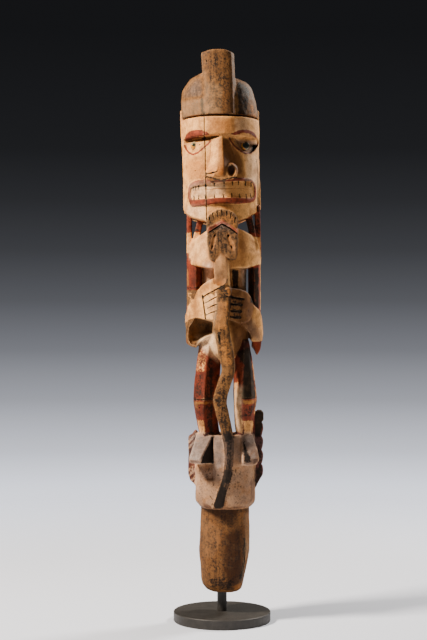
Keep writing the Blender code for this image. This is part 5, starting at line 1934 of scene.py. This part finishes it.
def fine_works() -> list[list[Work]]:
    """List the lines, chips and holes of the carving, in rounds whose cuts don't touch each other.

    Returns:
        The rounds.
    """
    ends, start, end = (True, True), (True, False), (False, True)
    head = [
        Groove(mm(-75, 1066.8, -55.2, 1067.5, -6.4, 1070.2, 42.4, 1071.4, 75.3, 1070.6), 0.0034, 0.0032, ends),
        Groove(mm(86.2, 1148, 88, 1120, 88.6, 1095, 89, 1018), 0.0034, 0.005, start),
        Groove(mm(-39, 1105.2, -30, 1105.4, -20, 1107, -12.5, 1109.6), 0.0056, 0.007, ends),
        Groove(mm(-10.1, 1123, -10.1, 1111.5), 0.0028, 0.0028, start),
        Groove(mm(-27.5, 1185, -29, 1164, -30.5, 1140, -32, 1128), 0.003, 0.0016, ends),
        Groove(mm(19, 1185, 24, 1164, 30, 1145), 0.003, 0.0016, ends),
        Groove(mm(-36.8, 959.2, -19, 970, -1, 982, 17, 972.2, 36.8, 958), 0.004, 0.008),
        *(Notch(top, (top[0] - 0.0002, top[1] - 0.01), 0.0066, 0.007) for top in TEETH_TOP),
        *(Notch(foot, (foot[0] - 0.001, foot[1] + 0.0104), 0.0062, 0.0064) for foot in TEETH_FOOT),
        *(Groove(slit, 0.0038, 0.008, end) for slit in COMB_SLITS),
        Hole((-0.0664, 1.1161), 0.0016), Hole((-0.0553, 1.18), 0.0018), Hole((-0.0382, 1.3822), 0.002),
    ]
    hands = [
        Groove(mm(11.5, 847.5, 9, 840, 4.5, 834, -8.9, 827.2, -30.8, 815.6, -47.8, 805.9), 0.0048, 0.0056, start),
        Groove(mm(-40.5, 792, -24, 801, -12.5, 806.5), 0.0046, 0.006, start),
        Groove(mm(-36, 778.5, -24, 784.2, -13, 788.6), 0.0046, 0.006, start),
        Groove(mm(-37.5, 763.6, -26, 768.2, -13.5, 772), 0.0046, 0.006, start),
        Groove(mm(21.5, 806.2, 30, 804, 53.1, 801), 0.004, 0.005),
        Groove(mm(20.5, 788.5, 35, 787.2, 49.4, 786.4), 0.0036, 0.005, end),
        Groove(mm(20, 772, 35, 770.8, 47.6, 770.4), 0.0036, 0.005, end),
        Groove(mm(19.5, 758, 30, 756.5, 45, 755.8), 0.0036, 0.005, end),
        Groove(mm(2, 817.5, 4, 824, 8.5, 829.6, 16, 830.8, 24, 828), 0.003, 0.0034, ends),
    ]
    body = [
        Groove(CRACK, 0.0026, 0.022),
        Groove(mm(-48.6, 811, -47.8, 805.9, -45.3, 786.4, -42.9, 769.4, -40.5, 752), 0.0044, 0.0056),
        Groove(mm(3, 816.5, 5.6, 810.5, 12, 806.2, 23, 805.8), 0.003, 0.0034, start),
        Groove(mm(49, 740, 58, 729, 67.2, 718.1, 72.1, 705.9), 0.003, 0.003, ends),
        Groove(mm(-73.5, 556, -44, 555.2, -15, 556), 0.003, 0.0024),
        Groove(mm(28, 558.5, 46, 557.8, 88, 558.5), 0.003, 0.0022),
        Groove(mm(-6, 729, -1, 726.2, 4, 728.8, 9.5, 726.8), 0.0036, 0.0032, ends),
        Groove(mm(-9, 718, -7.8, 708, -6, 693), 0.006, 0.008, ends),
        Groove(mm(2, 719, 5.5, 715, 7.5, 712), 0.0032, 0.0026, ends),
        Groove(mm(56, 208, 57, 190, 56.3, 166, 53, 140, 47, 112), 0.0044, 0.006, ends),
        Hole((-0.0563, 0.5349), 0.0018), Hole((-0.0497, 0.4817), 0.0015), Hole((-0.0399, 0.4829), 0.0015),
        Hole((0.0292, 0.4829), 0.0016), Hole((-0.0102, 0.3702), 0.002), Hole((0.0437, 0.3726), 0.0017),
        Hole((-0.0252, 0.1624), 0.0018), Hole((-0.003, 0.161), 0.0014), Hole((0.0221, 0.1634), 0.0014),
    ]
    return [head, hands, body]


def deep_works(bench: Bench) -> list[Solid]:
    """Tools for the windows of the shield and the sunk fingers.

    Args:
        bench: where the tools are made.

    Returns:
        The tools.
    """
    windows = (
        ("upper left window", mm(-16, 963.9, -19.5, 957.5, -22.2, 950.7, -16.7, 951.2)),
        ("upper right window", mm(14.2, 961.8, 12.2, 953.1, 17.2, 948.5, 17.6, 954.5)),
        ("lower left window", mm(-24.7, 934.2, -22.2, 930, -23, 923.5, -27, 921.5)),
        ("lower right window", mm(23.2, 933.5, 20, 927.5, 21.5, 922.5, 26.1, 921.5)),
    )
    solids = [bench.slab(name, outline, -0.2, -0.104) for name, outline in windows]
    left_panel = mm(-47.5, 805, -30.8, 815, -18, 821.5, -16, 810, -17.2, 785, -18.5, 765, -22.2, 746, -22.2, 730,
        -39.5, 730, -43, 770)
    right_panel = mm(22.2, 806, 53.5, 801.2, 49.8, 785, 45, 730, 16.5, 730, 14, 746, 18.2, 770)
    for name, outline in (("left finger panel", left_panel), ("right finger panel", right_panel)):
        core = [(level, 0.004, 0.0815, front, 0.02) for level, front in ((0.7, 0.1018), (0.87, 0.1038))]
        solids.append(bench.over_log(name, outline, core))
    return solids


# ---- figure


@dataclass
class Figure:
    """The whole carving, worked from its masses into one skin."""

    bench: Bench
    rough_voxel: float = 0.0017
    fine_voxel: float = 0.0014
    triangles: int = 196000
    adze_depth: float = 0.0012
    adze_size: float = 0.016
    swell_size: float = 0.03
    deep_line: float = 0.004
    notch_soil: float = 0.45
    line_soil: float = 0.7
    masses: list[Mass] = field(default_factory=list)
    cut_second: tuple[str, ...] = (
        "left undercut", "right eye hollow", "left almond", "right almond", "left elbow hollow",
    )
    back_from: float = 0.01
    even: float = 1e-4

    def build(self) -> Solid:
        """Join the masses, cut the hollows, and smooth the skin.

        Returns:
            The carved figure.
        """
        bench = self.bench
        head, snake, arms = Head(bench), Snake(bench), Arms(bench)
        parts = [Base(bench), Legs(bench), Trunk(bench), arms, Shoulders(bench), head, snake]
        self.masses = [mass for part in parts for mass in part.masses()]
        figure = bench.join("carved_figure_skin", [mass.solid for mass in self.masses])
        self.rough = feel(figure)
        self.numbers = [face.value for face in figure.data.attributes[bench.MASS].data]
        bench.finish_with(figure, "REMESH", mode="VOXEL", voxel_size=self.rough_voxel, adaptivity=0.0)
        report("roughed out", figure)
        hollows = [*head.hollows(), *snake.hollows(), *arms.hollows()]
        inner = [tool for tool in hollows if tool.name in self.cut_second]
        outer = [tool for tool in hollows if tool.name not in self.cut_second]
        for tools in ([*outer, *deep_works(bench)], inner):
            bench.work(figure, bench.gang(tools), Cut.TAKE)
        report("hollowed", figure)
        bench.finish_with(figure, "REMESH", mode="VOXEL", voxel_size=self.fine_voxel, adaptivity=0.0)
        report("smoothed", figure)
        self.adze(figure)
        Engraver(bench, figure).cut(fine_works())
        self.thin(figure)
        report("thinned", figure)
        bench.take_up(figure)
        bpy.ops.object.shade_smooth_by_angle(angle=radians(40))
        self.skin = figure
        return figure

    def dress(self, effects: Effects) -> None:
        """Paint the carving, with its painted shade and light, and let it age, its cuts and hollows darkened by
        soiling and painted shade.

        Args:
            effects: the shared effects.
        """
        bench = self.bench
        parts = [Base(bench), Legs(bench), Arms(bench), Shoulders(bench), Head(bench), Snake(bench)]
        painter = Painter(self.skin)
        marks = [mark for part in parts for mark in part.paint()]
        for work in sum(fine_works(), []):
            if isinstance(work, Notch):
                marks.append(Dab(BLACK, (work.head, work.tip), width=self.notch_soil * work.width))
            elif isinstance(work, Groove) and work.depth > self.deep_line:
                marks.append(Dab(BLACK, work.path, width=self.line_soil * work.width))
        painter.coats(self.rough, self.numbers, self.masses, marks)
        painter.wear_and_shade()
        self.skin.data.materials.clear()
        self.skin.data.materials.append(PaintedWood().make(effects))

    def thin(self, figure: Solid) -> None:
        """Thin the mesh, the plain back more than the worked and painted front.

        Args:
            figure: the carving.
        """
        depths = read_all(figure.data.vertices, "co", 3, np.float32)[:, 1]
        group = figure.vertex_groups.new(name="back")
        for part, weight in ((depths > self.back_from, 1.0), (depths <= self.back_from, 0.02)):
            group.add(np.nonzero(part)[0].tolist(), weight, "REPLACE")
        ratio = self.triangles / sum(len(face.vertices) - 2 for face in figure.data.polygons)
        self.bench.finish_with(figure, "DECIMATE", ratio=ratio, vertex_group="back", vertex_group_factor=self.even)
        figure.vertex_groups.clear()

    def adze(self, figure: Solid) -> None:
        """Leave the shallow unevenness of hand work on the skin.

        Args:
            figure: the carving.
        """
        self.bench.finish_with(figure, "SMOOTH", factor=0.5, iterations=1)
        for kind, size in (("VORONOI", self.adze_size), ("CLOUDS", self.swell_size)):
            pattern = bpy.data.textures.new(f"adze {kind.lower()}", kind)
            pattern.noise_scale = size
            self.bench.finish_with(figure, "DISPLACE", texture=pattern, strength=self.adze_depth, mid_level=0.5,
                texture_coords="LOCAL")
            bpy.data.textures.remove(pattern)


# ---- eyes


@dataclass
class Eye:
    """One round shell eye set in its socket."""

    node: str
    finish: EyeShell
    bulge: float = 0.55
    sides: int = 40
    steps: int = 9

    def build(self, bench: Bench) -> Solid:
        """Raise the domed lid of shell on its seat.

        Args:
            bench: where it is made.

        Returns:
            The dome.
        """
        low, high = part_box(self.node)
        self.middle = (Vector(low) + Vector(high)) / 2
        self.radius = (high[0] - low[0]) / 2
        rings = [self.ring(self.radius * 0.96, high[1]), self.ring(self.radius, high[1] - 0.0006)]
        rise = min(self.radius * self.bulge, high[1] - low[1] - 0.0012)
        for step in range(self.steps):
            turn = pi / 2 * step / self.steps
            rings.append(self.ring(self.radius * cos(turn), low[1] + rise * (1 - sin(turn))))
        piece = bench.rise(self.node.replace("_shell", "_dome"), rings)
        bench.take_up(piece)
        bpy.ops.object.shade_smooth_by_angle(angle=radians(50))
        return piece

    def ring(self, radius: float, front: float) -> Ring:
        """Lay one round of the dome."""
        turns = (2 * pi * side / self.sides for side in range(self.sides))
        return [(self.middle.x + radius * cos(turn), front, self.middle.z + radius * sin(turn)) for turn in turns]

    def dress(self, piece: Solid, effects: Effects) -> None:
        """Give the eye its polished shell."""
        piece.data.materials.append(self.finish.make(effects, self.middle, self.radius))


EYES = (
    Eye("left_eye_shell", EyeShell("left eye shell", (-0.22, 0.2), 0.42, (-0.6, -0.8), rgb(0.34, 0.25, 0.12),
        dark=rgb(0.028, 0.032, 0.018))),
    Eye("right_eye_shell", EyeShell("right eye shell", (0.14, 0.08), 0.84, (-0.95, -0.3), rgb(0.34, 0.26, 0.14),
        dark=rgb(0.01, 0.013, 0.009))),
)


# ---- studio


@dataclass(frozen=True)
class Lamp:
    """A square soft lamp aimed at the figure."""

    name: str
    place: Point3
    size: float
    power: float
    colour: Point3


@dataclass
class Studio:
    """Camera, lamps, and a pale floor that fades into a backdrop."""

    eye: Point3 = (-0.0213, -3.53, 0.75)
    lens: float = 79.43
    lamps: tuple[Lamp, ...] = (
        Lamp("key", (-2.12, -1.08, 2.99), 0.55, 330.0, (1.0, 0.9, 0.78)),
        Lamp("right rim", (1.62, 1.26, 2.28), 0.5, 105.0, (1.0, 0.93, 0.84)),
    )
    fill: Colour = rgb(0.15, 0.148, 0.145)
    floor_radius: float = 3.2
    glow: float = 3.0

    def build(self) -> None:
        """Set the camera, the lamps, the backdrop and the floor."""
        lens = bpy.data.cameras.new("view")
        lens.lens = self.lens
        lens.sensor_width = 36.0
        camera = bpy.data.objects.new("view", lens)
        camera.location = self.eye
        camera.rotation_euler = (pi / 2, 0, 0)
        bpy.context.scene.collection.objects.link(camera)
        bpy.context.scene.camera = camera
        for lamp in self.lamps:
            self.light(lamp)
        self.backdrop()
        self.floor()

    def light(self, lamp: Lamp) -> None:
        """Hang one lamp.

        Args:
            lamp: the lamp.
        """
        light = bpy.data.lights.new(lamp.name, "AREA")
        light.size = lamp.size
        light.energy = lamp.power
        light.color = lamp.colour
        holder = bpy.data.objects.new(lamp.name, light)
        holder.location = lamp.place
        aim = Vector((0, 0, 0.8)) - Vector(lamp.place)
        holder.rotation_euler = aim.to_track_quat("-Z", "Y").to_euler()
        bpy.context.scene.collection.objects.link(holder)

    def backdrop(self) -> None:
        """Surround the figure with a plain backdrop, pale below and dark above."""
        world = bpy.data.worlds.new("backdrop")
        world.use_nodes = True
        wires = Wiring(world.node_tree)
        height = wires.add("SeparateXYZ", {0: wires.add("TexCoord").outputs["Generated"]}).outputs["Z"]
        place = wires.span(height, -0.2, 0.2)
        ramp = wires.add("ValToRGB", {0: place})
        tones = (
            (0.0, 1.0), (0.1, 0.95), (0.185, 0.56), (0.27, 0.3), (0.36, 0.145), (0.447, 0.072), (0.535, 0.037),
            (0.624, 0.019), (0.712, 0.0105), (0.8, 0.006), (1.0, 0.0038),
        )
        stops = ramp.color_ramp.elements
        for index, (spot, grey) in enumerate(tones):
            stop = stops[index] if index < 2 else stops.new(spot)
            stop.position = spot
            stop.color = (grey * 0.9, grey * 0.93, grey * 1.05, 1)
        seen = wires.add("LightPath").outputs["Is Camera Ray"]
        background = world.node_tree.nodes["Background"].inputs
        world.node_tree.links.new(wires.mix(seen, self.fill, ramp.outputs[0]), background["Color"])
        world.node_tree.links.new(wires.span(seen, least=1, most=self.glow), background["Strength"])
        bpy.context.scene.world = world

    def floor(self) -> None:
        """Lay the floor."""
        bpy.ops.object.select_all(action="DESELECT")
        bpy.ops.mesh.primitive_circle_add(vertices=96, radius=self.floor_radius, fill_type="NGON")
        floor = bpy.context.object
        floor.name = "floor"
        paper, wires, shader = new_finish("floor paper")
        shader["Base Color"].default_value = rgb(0.72, 0.76, 0.86)
        shader["Roughness"].default_value = 0.9
        reach = wires.vector("LENGTH", wires.add("TexCoord").outputs["Object"], gives="Value")
        fade = wires.step(reach, self.floor_radius * 0.98, self.floor_radius * 0.25)
        wires.tree.links.new(fade, shader["Alpha"])
        floor.data.materials.append(paper)


def main() -> None:
    """Build and dress every piece."""
    logging.basicConfig(level=logging.INFO, format="%(name)s: %(message)s")
    Studio().build()
    bench = Bench()
    effects = Effects()
    carving = Figure(bench)
    figure = carving.build()
    carving.dress(effects)
    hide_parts("carved_figure")
    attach(figure, "root")
    report("carved figure", figure)
    for eye in EYES:
        piece = eye.build(bench)
        eye.dress(piece, effects)
        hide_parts(eye.node)
        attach(piece, "root")
        report(piece.name, piece)
    steel = Steel().make(effects)
    for node in ("stand_rod", "stand_disc"):
        stand = bpy.data.objects[node]
        stand.data.materials.clear()
        stand.data.materials.append(steel)
        LOG.info("%s: steel", node)


if __name__ == "__main__":
    main()
